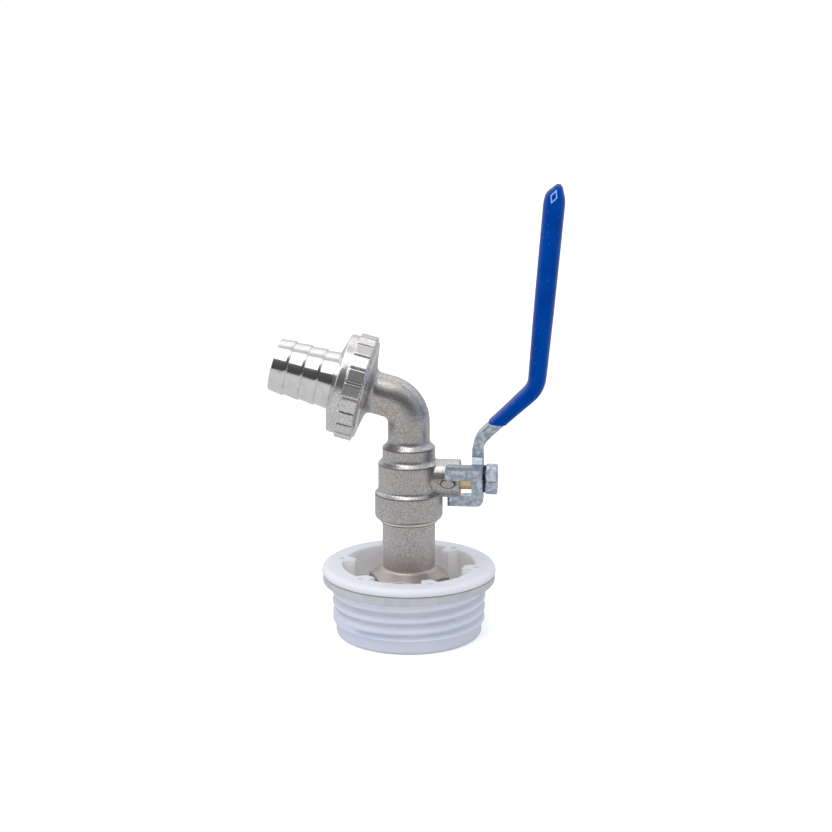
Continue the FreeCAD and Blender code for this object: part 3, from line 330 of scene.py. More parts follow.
def union_shape(angle, radius, height):
    """Raise the flat lands of the union nut, with a narrow groove between each two."""
    share = FULL_TURN / LAND_COUNT
    offset = np.abs(np.mod(angle - LAND_PHASE + share / 2, share) - share / 2)
    across = np.degrees(offset)
    face = LAND_FACE / np.cos(offset) - NUT_BODY
    face -= 0.12 * smoothstep(6.0, 7.2, across) + 1.0 * smoothstep(7.1, 7.65, across)
    along = (smoothstep(15.95, 16.35, height) ** 0.7 * (1 - smoothstep(22.0, 22.4, height)) ** 0.7)
    band = (radius > NUT_BODY - 0.02) & (height < 22.45)
    return np.where(band, radius + face * along, radius), height


def make_union_nut():
    ends = (22.41, 22.38, 22.34, 22.28, 22.2, 22.1, 22.0, 21.6, 20.0, 18.0, 16.6, 16.4, 16.3,
            16.22, 16.14, 16.08)
    lands = [(NUT_BODY, s, 0) for s in ends]
    outline = rounded([
        (13.26, 14.8, 0.15), (13.26, 24.66, 0), (10.75, 24.66, 0), (10.75, 27.3, 0.35),
        (14.2, 26.31, 0), (NUT_BODY, 25.3, 0.75), (NUT_BODY, 22.7, 0), *lands,
        (NUT_BODY, 16.0, 0.1), (17.05, 15.35, 0.3),
    ])
    return turned("union_ring", outline, ALONG_OUTLET, "nut_body", ["union_nut"],
                  angles=union_angles(), shape=union_shape)


def make_hose_tail():
    """Four barbs with soft crests, the hidden collar and the bore."""
    bore, neck, collar, end = 6.5, 9.6, 12.5, 49.2
    length, land, rise, barbs = 5.7, 1.0, 0.6, 4
    corners = [(bore, 23.4, 0), (collar, 23.4, 0.2), (collar, 24.6, 0.2), (neck, 24.6, 0),
               (neck, end - barbs * length, 0.15)]
    for number in range(barbs):
        crest = 10.35 - 0.15 * number
        start = end - (barbs - number) * length
        corners.append((crest, start, 0.18))
        corners.append((crest, start + land, 0.45))
        if number < barbs - 1:
            corners.append((crest - rise, start + length, 0.12))
    corners += [(9.3, end - 0.35, 0), (8.95, end, 0.15), (bore, end, 0.35)]
    return turned("barbed_tail", rounded(corners), ALONG_OUTLET, "tail_body",
                  ["hose_tail"], angles=256)


# Lever

SHEET = 3.85
STRIP_WIDTH = 8.6
STRIP_FOOT = (24.575, 60.0)
BENDS = [((24.575, 71.2), 8.0), ((44.75, 90.4), 9.0)]
STRIP_TIP = (50.1, 158.6)
GRIP_TIP = 2.3
GRIP_START = 77.5
GRIP_WIDTH = STRIP_WIDTH + 3.0
# rows of: height, full thickness of the grip
GRIP_THICKNESS = ((80, 83, 87, 95, 116, 135, 153), (5.15, 5.35, 5.8, 6.45, 7.1, 7.35, 7.5))
# rows of: distance below the tip, share of the full thickness, shift towards the outer side
TIP_SHAPE = ((0.0, 0.4, 0.9, 1.6, 2.3, 3.0, 3.7, 4.4, 5.5, 7.0),
             (0.16, 0.27, 0.40, 0.54, 0.68, 0.79, 0.87, 0.92, 0.97, 1.0),
             (0.95, 0.9, 0.8, 0.6, 0.2, 0.1, 0.0, 0.0, 0.0, 0.0))
DIP_TILT = 0.1
DIP_MIDDLE = 31.0
# middle of the painted diamond highlight at the grip's tip as (x, z), and how its two pairs of sides lie
# across x and z
TIP_HIGHLIGHT_CENTRE = (49.60, 156.95)
TIP_HIGHLIGHT_SIDES = ((0.919, 0.106), (0.664, -0.693))


def lever_line(step, past=0.0):
    """Points along the strip's centreline, with the tangent at each."""
    foot = np.array(STRIP_FOOT)
    tip = np.array(STRIP_TIP)
    lean = unit(tip - np.array(BENDS[1][0]))
    corners = [foot, *(np.array(bend[0]) for bend in BENDS), tip + lean * past]
    line = [corners[0]]
    for index, (_, radius) in enumerate(BENDS, 1):
        here = corners[index]
        before, after = unit(corners[index - 1] - here), unit(corners[index + 1] - here)
        half = math.acos(before @ after) / 2
        run = radius / math.tan(half)
        centre = here + unit(before + after) * radius / math.sin(half)
        start, end = here + before * run - centre, here + after * run - centre
        sweep = math.acos(np.clip(unit(start) @ unit(end), -1, 1))
        for share in np.linspace(0, 1, 17):
            arm = math.sin((1 - share) * sweep) * start + math.sin(share * sweep) * end
            line.append(centre + arm / math.sin(sweep))
    line.append(corners[-1])
    line = np.array(line)
    run = np.r_[0, np.cumsum(np.linalg.norm(np.diff(line, axis=0), axis=1))]
    stations = np.linspace(0, run[-1], int(run[-1] / step) + 1)
    points = np.stack([np.interp(stations, run, line[:, axis]) for axis in (0, 1)], -1)
    tangents = np.gradient(points, axis=0)
    return points, tangents / np.linalg.norm(tangents, axis=1)[:, None]


def oval(half_thick, half_wide, power, count=48):
    """A superellipse section as (across the sheet, along Y) points."""
    turn = np.linspace(0, FULL_TURN, count, endpoint=False)
    across = np.sign(np.cos(turn)) * np.abs(np.cos(turn)) ** (2 / power) * half_thick
    along = np.sign(np.sin(turn)) * np.abs(np.sin(turn)) ** (2 / power) * half_wide
    return across, along


def ring_at(point, tangent, section):
    """Stand a section square to the centreline at a point."""
    across, along = section
    normal = np.array((tangent[1], -tangent[0]))
    return np.stack([point[0] + across * normal[0], along, point[1] + across * normal[1]], -1)


def make_grip():
    """The dipped sleeve: level at its mouth, thicker towards the tip and drawn out to a nib."""
    points, tangents = lever_line(0.5, GRIP_TIP)
    keep = points[:, 1] > GRIP_START + 1.2
    points, tangents = points[keep], tangents[keep]
    height = points[:, 1]
    thick = np.interp(height, *GRIP_THICKNESS) / 2
    distance, thick_share, shift = TIP_SHAPE
    below = height[-1] - height
    tip_run = np.clip(below / 6.6, 0, 1)
    wide = GRIP_WIDTH / 2 * (np.sqrt(1 - (1 - tip_run) ** 2.1) * 0.93 + 0.07)
    thick *= np.interp(below, distance, thick_share)
    points = points + np.interp(below, distance, shift)[:, None] * np.array((1.0, 0.0))
    skin = [ring_at(p, t, oval(a, b, 2.75)) for p, t, a, b in zip(points, tangents, thick, wide)]
    inner = [ring_at(p, t, oval(SHEET / 2, max(0.5, min(STRIP_WIDTH / 2, b - 1.4)), 9))
             for p, t, b in zip(points, tangents, wide)]
    inner = inner[:-4][::-1]
    mouth_in = to_dip_line(inner[-1], tangents[0], 0.0)
    lip = ring_at(points[0], tangents[0], oval(SHEET / 2 + 0.3, STRIP_WIDTH / 2 + 0.35, 5))
    edge = ring_at(points[0], tangents[0], oval(thick[0] - 0.2, wide[0] - 0.22, 3.0))
    rings = inner + [mouth_in, to_dip_line(lip, tangents[0], 0.0),
                     to_dip_line(edge, tangents[0], 0.12), to_dip_line(skin[0], tangents[0], 0.5)]
    return swept_tube("grip_sleeve", np.array(rings + skin), UPRIGHT, "lever_body",
                      ["lever_grip"])


def to_dip_line(ring, tangent, lift):
    """Slide a ring along the strip to the tilted level that the lever was dipped to."""
    level = GRIP_START + lift - DIP_TILT * (ring[:, 0] - DIP_MIDDLE)
    slide = (level - ring[:, 2]) / (tangent[1] + DIP_TILT * tangent[0])
    return ring + slide[:, None] * np.array((tangent[0], 0, tangent[1]))


# Valve body

STOP_LUG_REACH = 14.4
# for each shoulder: height of its foot, radius below, radius above, end of its drawn stretch
SHOULDERS = ((51.8, 12.1, 10.9, 54.6), (62.6, 10.9, 9.35, 66.8), (68.4, 9.35, 7.45, 73.4))


def casting_radius(height):
    """The radius of the casting's straight shoulders at a height."""
    heights, radii = [], []
    for foot, wide, narrow, _ in SHOULDERS:
        heights += [foot, foot + wide - narrow]
        radii += [wide, narrow]
    return np.interp(height, heights, radii)


def drawn_radius(height):
    """The same shoulders, crisp at their lower edge and drawn out at their upper one."""
    radius = SHOULDERS[-1][2]
    for foot, wide, narrow, _ in SHOULDERS:
        rise = max(0, (height - foot) / (wide - narrow) + 0.12)
        radius += (wide - narrow) * math.exp(-(rise / 0.62) ** 1.6)
    return radius


def draw_shoulders(shape):
    """Cut the casting into thin rings near its shoulders and move them to their drawn radius."""
    low, high = SHOULDERS[0][0] - 0.8, SHOULDERS[-1][3] + 0.1
    for foot, _, _, end in SHOULDERS:
        for height in np.arange(foot - 0.6, end, 0.2):
            bmesh.ops.bisect_plane(shape, geom=[*shape.verts, *shape.edges, *shape.faces],
                                   plane_co=(0, 0, height * MM), plane_no=(0, 0, 1))
    for vert in shape.verts:
        x, y, height = np.array(vert.co) / MM
        radius = math.hypot(x, y)
        if low < height < high and abs(radius - casting_radius(height)) < 0.45:
            scale = drawn_radius(height) / radius
            vert.co.x *= scale
            vert.co.y *= scale


def softened(node, name, body, width, reshape=None, segments=3):
    """A copy of a CAD piece with its edges rounded off."""
    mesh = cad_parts[node].data.copy()
    mesh.name = name
    shape = bmesh.new()
    shape.from_mesh(mesh)
    bmesh.ops.remove_doubles(shape, verts=shape.verts, dist=2e-6)
    bmesh.ops.dissolve_limit(shape, angle_limit=math.radians(0.6), verts=shape.verts,
                             edges=shape.edges)
    if reshape:
        reshape(shape)
    shape.to_mesh(mesh)
    shape.free()
    mesh.materials.clear()
    mesh.shade_smooth()
    item = bpy.data.objects.new(name, mesh)
    bpy.context.scene.collection.objects.link(item)
    bevel = item.modifiers.new("bevel", "BEVEL")
    bevel.width = width * MM
    bevel.segments = segments
    bevel.limit_method = "ANGLE"
    bevel.angle_limit = math.radians(32)
    bevel.harden_normals = False
    item.modifiers.new("weighted", "WEIGHTED_NORMAL")
    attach(item, body)
    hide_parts(node)
    return item


# Lever nut

NUT_FLATS = 10.0
NUT_BACK = 27.4
NUT_FRONT = 31.6
NUT_BORE = 3.0


def nut_shape(angle, radius, height):
    """Turn the round blank of the lever nut into a bevelled hexagon."""
    outside = radius > NUT_BORE + 1
    spare = np.minimum(height - NUT_BACK, NUT_FRONT - height)
    bevel = NUT_FLATS / 2 + spare / math.tan(math.radians(30))
    edge = lesser(hexagon(angle, NUT_FLATS, 30, 0.06), bevel, 0.05)
    return np.where(outside, np.minimum(radius, edge), radius), height


def make_lever_nut():
    blank = 5.9
    wall = [(blank, z) for z in np.linspace(NUT_BACK + 0.02, NUT_FRONT - 0.02, 26)]
    back = [(NUT_BORE, NUT_BACK), (4.3, NUT_BACK), (4.9, NUT_BACK)]
    front = [(4.9, NUT_FRONT), (4.3, NUT_FRONT), (NUT_BORE + 0.3, NUT_FRONT),
             (NUT_BORE, NUT_FRONT - 0.2)]
    outline = np.array(back + wall + front)
    return turned("stem_nut", outline, ALONG_STEM, "lever_body", ["lever_nut"],
                  angles=360, shape=nut_shape)


# Materials

class Nodes:
    """A node tree with short calls for the nodes that the scene uses."""

    def __init__(self, tree):
        self.tree = tree

    def node(self, kind, **settings):
        node = self.tree.nodes.new(kind)
        for key, value in settings.items():
            setattr(node, key, value)
        return node

    def feed(self, socket, value):
        """Link an output to a socket, or set the socket to a colour or a number."""
        if isinstance(value, bpy.types.NodeSocket):
            self.tree.links.new(value, socket)
        elif isinstance(value, tuple):
            socket.default_value = (*value, 1.0)
        else:
            socket.default_value = value

    def math(self, operation, first, second=0.0):
        node = self.node("ShaderNodeMath", operation=operation)
        self.feed(node.inputs[0], first)
        self.feed(node.inputs[1], second)
        return node.outputs["Value"]

    def length(self, first, second):
        """The length of a vector with two parts."""
        squares = [self.math("MULTIPLY", part, part) for part in (first, second)]
        return self.math("SQRT", self.math("ADD", *squares))

    def ramp(self, value, low, high, out_low=0.0, out_high=1.0):
        """A smooth step between two levels of a value."""
        node = self.node("ShaderNodeMapRange", interpolation_type="SMOOTHSTEP")
        for socket, number in zip(("Value", "From Min", "From Max", "To Min", "To Max"),
                                  (value, low, high, out_low, out_high)):
            self.feed(node.inputs[socket], number)
        return node.outputs["Result"]

    def band(self, value, rise, fall, top=1.0):
        """A smooth step up and one down, each from one level of the value to another."""
        return self.math("MULTIPLY", self.ramp(value, *rise), self.ramp(value, *fall, top, 0.0))

    def mix(self, share, first, second):
        """Mix two colours, each a tuple or an output."""
        node = self.node("ShaderNodeMix", data_type="RGBA")
        for index, value in ((0, share), (6, first), (7, second)):
            self.feed(node.inputs[index], value)
        return node.outputs[2]


class Paint(Nodes):
    """One node material on a principled shader. Places and sizes are in millimetres."""

    def __init__(self, name, **sockets):
        self.material = bpy.data.materials.new(name)
        self.material.use_nodes = True
        super().__init__(self.material.node_tree)
        self.shader = self.tree.nodes["Principled BSDF"]
        for socket, value in sockets.items():
            self.shader.inputs[socket.replace("_", " ")].default_value = value
        self.where = self.node("ShaderNodeTexCoord").outputs["Object"]

    def axis(self, name):
        """One coordinate of the surface point."""
        split = self.node("ShaderNodeSeparateXYZ")
        self.feed(split.inputs["Vector"], self.where)
        return self.math("DIVIDE", split.outputs[name], MM)

    def noise(self, size, detail=3.0, roughness=0.55):
        """Noise with features of about a size, from 0 to 1."""
        node = self.node("ShaderNodeTexNoise")
        for socket, value in (("Vector", self.where), ("Scale", 1 / (size * MM)),
                              ("Detail", detail), ("Roughness", roughness)):
            self.feed(node.inputs[socket], value)
        return node.outputs["Fac"]

    def spots(self, size, threshold):
        """Scattered round spots: 1 on a spot and 0 elsewhere."""
        node = self.node("ShaderNodeTexVoronoi")
        self.feed(node.inputs["Vector"], self.where)
        self.feed(node.inputs["Scale"], 1 / (size * MM))
        return self.ramp(node.outputs["Distance"], threshold, threshold * 0.5)

    def colour(self, output):
        self.feed(self.shader.inputs["Base Color"], output)

    def roughness(self, output):
        self.feed(self.shader.inputs["Roughness"], output)

    def bump(self, height, depth, strength=1.0):
        node = self.node("ShaderNodeBump")
        for socket, value in (("Distance", depth * MM), ("Strength", strength), ("Height", height)):
            self.feed(node.inputs[socket], value)
        self.feed(self.shader.inputs["Normal"], node.outputs["Normal"])


def sandy_nickel(name, light, dark, stain, roughness, grain_size=0.32, depth=0.03):
    """Satin nickel over a sandy cast surface, with fine grain and a warm stain.

    The colour is handed back unlinked, so that marks can be laid over it.
    """
    paint = Paint(name, Metallic=1.0)
    grain = paint.noise(grain_size, roughness=0.65)
    cloud = paint.noise(6.0)
    base = paint.mix(paint.ramp(grain, 0.38, 0.62), dark, light)
    base = paint.mix(paint.ramp(cloud, 0.52, 0.78, 0.0, 0.5), base, stain)
    paint.roughness(paint.ramp(grain, 0.3, 0.7, roughness + 0.08, roughness - 0.06))
    paint.bump(grain, depth)
    return paint, base


def dimples(paint, out, height):
    """1 in the six small dimples on the flange and 0 elsewhere."""
    turn = paint.math("ARCTAN2", paint.axis("Y"), paint.axis("X"))
    turn = paint.math("SUBTRACT", turn, math.radians(LUG_PHASE))
    sideways = paint.math("MULTIPLY", paint.math("PINGPONG", turn, math.pi / 6), DIMPLE_CIRCLE)
    gap = paint.length(sideways, paint.math("SUBTRACT", out, DIMPLE_CIRCLE))
    return paint.math("MULTIPLY", paint.ramp(gap, DIMPLE_RADIUS - 0.25, DIMPLE_RADIUS + 0.35, 1.0, 0.0),
                      paint.ramp(height, BUNG_TOP - 1.2, BUNG_TOP - 0.9))


def plastic_material():
    """Moulded polypropylene, cool white on top. Painted shade makes the skirt darker and bluer, most
    towards its foot, and painted light makes the recess a paler, warm white.
    """
    paint = Paint("bung_polypropylene", Roughness=0.45, Specular_IOR_Level=0.35,
                  Subsurface_Weight=0.3, Subsurface_Scale=0.005, Subsurface_Radius=(1.0, 0.9, 0.8))
    cloud = paint.noise(9.0, detail=2.0)
    height = paint.axis("Z")
    out = paint.length(paint.axis("X"), paint.axis("Y"))
    # Painted shade: the skirt is darker and bluer than the flange top, and a little darker again towards
    # its foot.
    skirt = paint.mix(paint.ramp(height, 0.0, 20.0), (0.56, 0.60, 0.715), (0.60, 0.635, 0.72))
    flange = paint.ramp(height, FLANGE_BOTTOM + 0.3, FLANGE_BOTTOM + 2.1)
    shade = paint.mix(flange, skirt, (0.71, 0.735, 0.81))
    # Painted light: the recess wall and floor are paler, against the shade that falls in the recess.
    recess = paint.mix(paint.ramp(height, 6.0, 24.0), (0.95, 0.925, 0.92), (0.93, 0.92, 0.93))
    outside = paint.math("MAXIMUM", paint.ramp(out, RECESS_RADIUS - 0.1, RECESS_RADIUS + 0.5),
                         paint.ramp(height, BUNG_TOP - 0.6, BUNG_TOP - 0.3))
    shade = paint.mix(outside, recess, shade)
    shade = paint.mix(paint.ramp(cloud, 0.35, 0.75, 0.0, 0.25), shade, (0.70, 0.73, 0.80))
    # Painted shade: the six dimples on the flange are darker.
    paint.colour(paint.mix(dimples(paint, out, height), shade, (0.58, 0.59, 0.635)))
    paint.roughness(paint.ramp(cloud, 0.3, 0.7, 0.38, 0.52))
    paint.bump(paint.noise(0.5), 0.01, 0.5)
    return paint.material


def gasket_material():
    """Grey-white rubber, with painted shade as a brown line under the flange."""
    paint = Paint("gasket_white_rubber", Roughness=0.6, Specular_IOR_Level=0.3)
    cloud = paint.noise(4.0)
    base = paint.mix(paint.ramp(cloud, 0.35, 0.7), (0.43, 0.45, 0.495), (0.49, 0.51, 0.555))
    # Painted shade: a brown line at the top of the gasket, in the gap under the flange.
    flange_shade_line = paint.ramp(paint.axis("Z"), FLANGE_BOTTOM - 0.6, FLANGE_BOTTOM - 0.2)
    paint.colour(paint.mix(flange_shade_line, base, (0.33, 0.27, 0.20)))
    paint.roughness(paint.ramp(cloud, 0.3, 0.7, 0.5, 0.7))
    paint.bump(cloud, 0.02, 0.4)
    return paint.material


def tube_material():
    """The spigot, with a cream line at its foot and one at the joint. Painted shade makes it browner
    towards its foot, darkens the corner just below the foot and lays a brown line under the joint ring.
    """
    paint, base = sandy_nickel("spigot_nickel", (0.77, 0.75, 0.74), (0.38, 0.365, 0.36),
                               (0.56, 0.52, 0.49), 0.42)
    height = paint.axis("Z")
    foot, joint = HEX_TOP, JOINT_FOOT
    # Painted shade: browner towards the foot, most on the hex collar down in the bung's recess.
    base = paint.mix(paint.ramp(height, 23.0, 36.0, 0.65, 0.0), base, (0.52, 0.46, 0.42))
    # Painted shade: darker in the corner just below the tube's foot.
    base = paint.mix(paint.ramp(height, foot - 0.6, foot, 0.6, 0.0), base, (0.33, 0.30, 0.29))
    cream = paint.band(height, (foot - 0.05, foot + 0.1), (foot + 0.5, foot + 0.65))
    base = paint.mix(cream, base, (0.86, 0.82, 0.76))
    base = paint.mix(paint.ramp(height, joint + 0.3, joint + 0.5), base, (0.86, 0.80, 0.72))
    # Painted shade: a brown line under the lower edge of the joint ring.
    brown = paint.band(height, (joint - 0.15, joint - 0.03), (joint + 0.35, joint + 0.5), 0.8)
    paint.colour(paint.mix(brown, base, (0.26, 0.17, 0.10)))
    return paint.material


def rust_specks(paint, reach, height):
    """A few specks on the underside of the outlet."""
    place = paint.math("MULTIPLY", paint.band(reach, (-12.5, -10.0), (-5.5, -3.0)),
                       paint.band(height, (75.5, 77.0), (84.5, 86.5)))
    specks = paint.ramp(paint.noise(1.3, detail=2.0), 0.53, 0.64, 0.0, 0.8)
    return paint.math("MULTIPLY", place, specks)


def lug_rim_shade(paint, reach, height):
    """Painted shade: a dark line round the oval front face of the stop lug."""
    across = paint.math("DIVIDE", paint.math("SUBTRACT", reach, STOP_LUG_REACH), 2.6)
    upward = paint.math("DIVIDE", paint.math("SUBTRACT", height, STEM_HEIGHT), 1.6)
    oval_share = paint.math("ADD", paint.math("MULTIPLY", across, across),
                            paint.math("MULTIPLY", upward, upward))
    front = paint.ramp(paint.axis("Y"), -7.8, -7.0, 1.0, 0.0)
    return paint.math("MULTIPLY", front, paint.band(oval_share, (0.60, 0.80), (1.05, 1.5)))


def casting_material():
    """The valve body: specks of rust, with painted shade as dark lines under the shoulders and round the
    stop lug.
    """
    paint, base = sandy_nickel("valve_nickel", (0.73, 0.715, 0.71), (0.33, 0.32, 0.315),
                               (0.60, 0.57, 0.54), 0.36)
    reach = paint.axis("X")
    height = paint.axis("Z")
    base = paint.mix(rust_specks(paint, reach, height), base, (0.55, 0.33, 0.17))
    clear_of_boss = paint.ramp(reach, 8.0, 9.5, 0.75, 0.0)
    # Painted shade: a dark line under the foot of each shoulder, faded out near the stem boss.
    for foot, *_ in SHOULDERS:
        line = paint.band(height, (foot - 0.8, foot - 0.4), (foot - 0.2, foot + 0.1))
        base = paint.mix(paint.math("MULTIPLY", line, clear_of_boss), base, (0.17, 0.14, 0.125))
    # Painted shade round the stop lug's front face.
    paint.colour(paint.mix(lug_rim_shade(paint, reach, height), base, (0.15, 0.11, 0.09)))
    return paint.material


def union_material():
    """Brighter and smoother nickel than the valve body's."""
    paint, base = sandy_nickel("union_nickel", (0.88, 0.87, 0.875), (0.54, 0.53, 0.535),
                               (0.72, 0.70, 0.69), 0.26, grain_size=0.4, depth=0.02)
    paint.colour(base)
    return paint.material


def chrome_material():
    """Polished chrome with a faint speckle."""
    paint = Paint("tail_chrome", Metallic=1.0)
    cloud = paint.noise(2.5, detail=4.0)
    paint.colour(paint.mix(paint.ramp(cloud, 0.45, 0.7), (0.78, 0.78, 0.80), (0.70, 0.695, 0.70)))
    paint.roughness(paint.ramp(cloud, 0.42, 0.72, 0.08, 0.16))
    paint.bump(paint.noise(0.3), 0.012, 0.8)
    return paint.material


def zinc_material():
    """Zinc plate: blue-grey with a fine mottle, and painted shade darkening the strip where it flares
    into the plate, against the reflection there.
    """
    paint = Paint("lever_zinc", Metallic=1.0)
    mottle = paint.noise(1.5, roughness=0.6)
    base = paint.mix(paint.ramp(mottle, 0.38, 0.62), (0.38, 0.455, 0.54), (0.66, 0.74, 0.83))
    # Painted shade: darker where the strip flares into the plate.
    flare_shade = paint.band(paint.axis("Z"), (62.2, 62.8), (65.8, 66.6), 0.8)
    paint.colour(paint.mix(flare_shade, base, (0.31, 0.36, 0.43)))
    paint.roughness(paint.ramp(mottle, 0.35, 0.7, 0.40, 0.28))
    paint.bump(paint.math("ADD", paint.noise(0.35), mottle), 0.03, 0.8)
    return paint.material


def tip_highlight_outline(paint):
    """Painted highlight: the bright outline of a small diamond on the front of the grip's tip."""
    reach = paint.math("SUBTRACT", paint.axis("X"), TIP_HIGHLIGHT_CENTRE[0])
    height = paint.math("SUBTRACT", paint.axis("Z"), TIP_HIGHLIGHT_CENTRE[1])
    shares = [paint.math("ADD", paint.math("MULTIPLY", reach, along),
                         paint.math("MULTIPLY", height, up)) for along, up in TIP_HIGHLIGHT_SIDES]
    share = paint.math("MAXIMUM", *(paint.math("ABSOLUTE", one) for one in shares))
    front = paint.ramp(paint.axis("Y"), -3.0, -2.0, 1.0, 0.0)
    return paint.math("MULTIPLY", front, paint.band(share, (0.62, 0.82), (0.95, 1.10)))


def vinyl_material():
    """Dipped vinyl: cobalt blue with tiny bright specks, and a painted highlight outlining a small
    diamond at the tip.
    """
    paint = Paint("grip_vinyl", Roughness=0.3, Specular_IOR_Level=0.35,
                  Specular_Tint=(0.02, 0.30, 1.0, 1.0))
    cloud = paint.noise(7.0, detail=2.0)
    base = paint.mix(paint.ramp(cloud, 0.3, 0.72), (0.0, 0.036, 0.25), (0.0, 0.047, 0.31))
    base = paint.mix(paint.spots(1.6, 0.10), base, (0.08, 0.26, 0.62))
    # Painted highlight: the bright outline of the diamond at the tip.
    paint.colour(paint.mix(tip_highlight_outline(paint), base, (0.30, 0.50, 0.85)))
    paint.roughness(paint.ramp(cloud, 0.3, 0.7, 0.28, 0.38))
    paint.bump(paint.noise(0.8, detail=2.0), 0.03, 0.35)
    return paint.material


def plain_material(name, dark, light, size, rough_low, rough_high, metallic=0.0, depth=0.01):
    """A mottled two-tone finish for the small and the hidden pieces."""
    paint = Paint(name, Metallic=metallic)
    cloud = paint.noise(size)
    paint.colour(paint.mix(paint.ramp(cloud, 0.35, 0.68), dark, light))
    paint.roughness(paint.ramp(cloud, 0.3, 0.7, rough_low, rough_high))
    paint.bump(cloud, depth, 0.6)
    return paint.material


def dress(item, material):
    """Give a piece one material, also where the CAD file brought its own."""
    item.data.materials.clear()
    item.data.materials.append(material)


# Studio

FLOOR_HALF = 4.0
FLOOR_IN_METAL = 0.60
FLOOR_LIFT = 0.3
EVEN_LIGHT = 0.90
# what metal sees from the floor before it (0 degrees) over the top (90) to behind it (180)
ROOM = [(0, 0.07), (14, 0.07), (30, 0.10), (46, 0.2), (56, 0.55), (63, 0.95), (80, 1.35), (90, 1.0),
        (97, 0.62), (104, 0.75), (118, 1.3), (140, 1.2), (156, 0.75), (180, 0.65)]
ROOM_PEAK = 2.0
LAMP_PLACE = (-0.25, -0.30, 0.85)
LAMP_AIM = (0.0, 0.0, 0.08)
CAMERA_PLACE = (0.05059, -0.54904, 0.20141)
CAMERA_DIRECTION = (-0.08509, 0.97262, -0.21629)
CAMERA_LENS = 69.23


def make_floor():
    """A wide white floor that stays white to the camera and keeps the soft shadow.

    Metal sees it as a light grey.
    """
    mesh = bpy.data.meshes.new("floor")
    corners = [(x * FLOOR_HALF, y * FLOOR_HALF, 0) for x, y in ((-1, -1), (1, -1), (1, 1), (-1, 1))]
    mesh.from_pydata(corners, [], [(0, 1, 2, 3)])
    floor = bpy.data.objects.new("floor", mesh)
    floor.location.z = -0.0002
    bpy.context.scene.collection.objects.link(floor)
    paper = Paint("floor_white", Roughness=0.9, Specular_IOR_Level=0.0, Emission_Color=(1, 1, 1, 1))
    path = paper.node("ShaderNodeLightPath")
    tone = paper.math("ADD", paper.math("MULTIPLY", paper.noise(2700.0), 0.04), 0.93)
    paper.colour(paper.mix(path.outputs["Is Glossy Ray"], tone, (FLOOR_IN_METAL,) * 3))
    lift = paper.math("MULTIPLY", path.outputs["Is Camera Ray"], FLOOR_LIFT)
    paper.feed(paper.shader.inputs["Emission Strength"], lift)
    mesh.materials.append(paper.material)


def room_light(sky, sideways, forward, upward):
    """The level that metal sees in each direction, from the bands of the room."""
    climb = sky.math("ARCTAN2", upward, sky.math("MULTIPLY", forward, -1.0))
    bands = sky.node("ShaderNodeValToRGB")
    bands.color_ramp.interpolation = "LINEAR"
    stops = bands.color_ramp.elements
    while len(stops) < len(ROOM):
        stops.new(0.5)
    for stop, (angle, level) in zip(stops, ROOM):
        stop.position = angle / 180
        stop.color = (*[level / ROOM_PEAK] * 3, 1)
    sky.feed(bands.inputs["Fac"], sky.math("DIVIDE", sky.math("ABSOLUTE", climb), math.pi))
    side = sky.ramp(sky.math("ABSOLUTE", sideways), 0.60, 0.92, 0.0, 0.24)
    level = sky.math("MAXIMUM", bands.outputs["Color"], side)
    left_to_right = sky.ramp(sideways, -1.0, 1.0, ROOM_PEAK * 1.15, ROOM_PEAK * 0.85)
    return sky.math("MULTIPLY", level, left_to_right)


def make_world():
    """White to the camera and an even light to matt surfaces.

    Metal sees a dim room on the viewer's side, a soft light above it and a white backdrop.
    """
    world = bpy.data.worlds.new("studio")
    bpy.context.scene.world = world
    world.use_nodes = True
    sky = Nodes(world.node_tree)
    sky.tree.nodes.clear()
    split = sky.node("ShaderNodeSeparateXYZ")
    sky.feed(split.inputs["Vector"], sky.node("ShaderNodeTexCoord").outputs["Generated"])
    sideways, forward, upward = (split.outputs[axis] for axis in "XYZ")
    room = room_light(sky, sideways, forward, upward)
    side = sky.ramp(sky.math("ABSOLUTE", sideways), 0.45, 0.95)
    tint = sky.mix(side, (1.0, 0.99, 0.985), (0.74, 0.78, 0.88))
    path = sky.node("ShaderNodeLightPath")
    glossy = path.outputs["Is Glossy Ray"]
    even = sky.math("MULTIPLY", sky.math("SUBTRACT", 1.0, glossy), EVEN_LIGHT)
    strength = sky.math("ADD", sky.math("MULTIPLY", glossy, room), even)
    strength = sky.math("MAXIMUM", strength, path.outputs["Is Camera Ray"])
    background = sky.node("ShaderNodeBackground")
    sky.feed(background.inputs["Color"], sky.mix(glossy, (1.0, 1.0, 1.0), tint))
    sky.feed(background.inputs["Strength"], strength)
    output = sky.node("ShaderNodeOutputWorld")
    sky.feed(output.inputs["Surface"], background.outputs["Background"])


def stand(item, place, direction):
    """Put a lamp or a camera at a place, looking along a direction."""
    item.location = place
    item.rotation_mode = "QUATERNION"
    item.rotation_quaternion = direction.to_track_quat("-Z", "Y")
    bpy.context.scene.collection.objects.link(item)


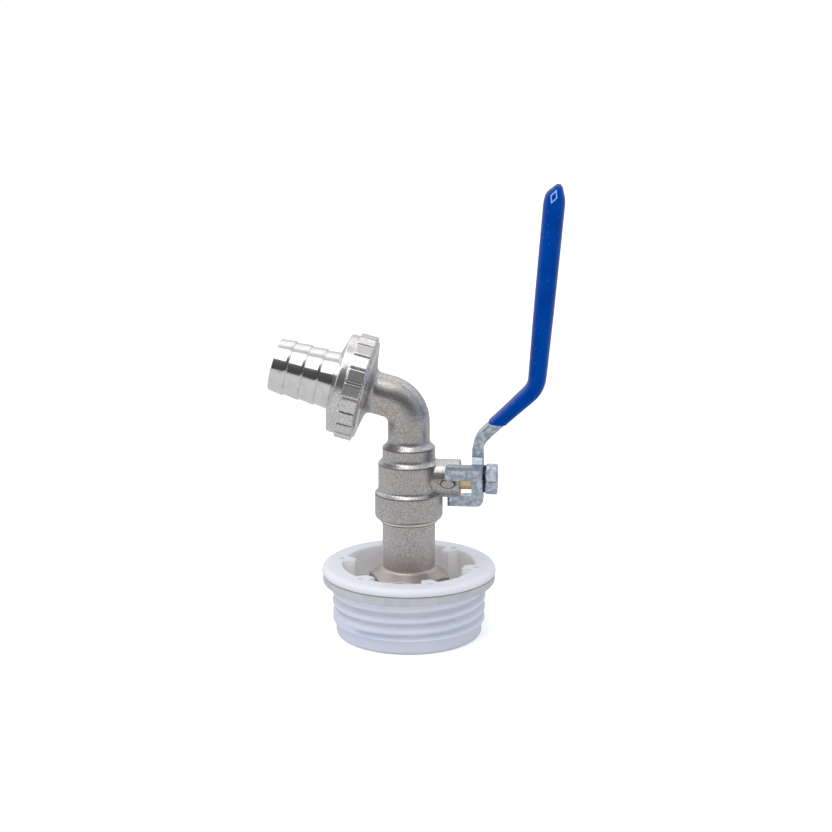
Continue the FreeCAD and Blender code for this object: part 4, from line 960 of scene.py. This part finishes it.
def make_lamp():
    """One soft square lamp, high up in front and to the left."""
    light = bpy.data.lights.new("overhead", "AREA")
    light.shape = "SQUARE"
    light.size = 0.7
    light.energy = 2.8
    light.color = (1.0, 0.99, 0.97)
    lamp = bpy.data.objects.new("overhead", light)
    stand(lamp, LAMP_PLACE, Vector(LAMP_AIM) - Vector(LAMP_PLACE))


def make_camera():
    camera = bpy.data.objects.new("camera", bpy.data.cameras.new("camera"))
    camera.data.lens = CAMERA_LENS
    camera.data.sensor_width = 36.0
    camera.data.clip_start = 0.01
    stand(camera, CAMERA_PLACE, Vector(CAMERA_DIRECTION))
    bpy.context.scene.camera = camera


# The whole scene

rubber = plain_material("seal_black", (0.012, 0.012, 0.013), (0.03, 0.03, 0.032), 1.2, 0.5, 0.65)
ptfe = plain_material("seat_white", (0.78, 0.78, 0.76), (0.86, 0.86, 0.84), 3.0, 0.4, 0.55)
brass = plain_material("stem_brass", (0.66, 0.50, 0.27), (0.78, 0.63, 0.38), 1.4, 0.2, 0.32, 1.0)
ball_chrome = plain_material("ball_chrome", (0.78, 0.78, 0.79), (0.86, 0.86, 0.87), 4.0, 0.06, 0.12, 1.0,
                             0.002)
dark_steel = plain_material("washer_dark", (0.03, 0.035, 0.045), (0.10, 0.11, 0.13), 0.9, 0.32, 0.5, 1.0)
zinc = zinc_material()

dress(make_bung(), plastic_material())
dress(make_gasket(), gasket_material())
dress(make_spigot(), tube_material())
dress(make_union_nut(), union_material())
dress(make_hose_tail(), chrome_material())
dress(make_grip(), vinyl_material())
dress(make_lever_nut(), zinc)
dress(softened("lever", "lever_strip", "lever_body", 0.75), zinc)
dress(softened("valve_body", "valve_casting", "root", 0.25, draw_shoulders),
      casting_material())

for node, material in {
    "spigot_washer": rubber,
    "body_joint_seal": rubber,
    "ball": ball_chrome,
    "inlet_seat": ptfe,
    "outlet_seat": ptfe,
    "stem": brass,
    "stem_thrust_washer": ptfe,
    "stem_o_ring_inner": rubber,
    "stem_o_ring_outer": rubber,
    "lock_washer": dark_steel,
    "outlet_seal": rubber,
}.items():
    dress(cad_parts[node], material)

make_floor()
make_world()
make_lamp()
make_camera()
bpy.context.scene.view_settings.view_transform = "Standard"
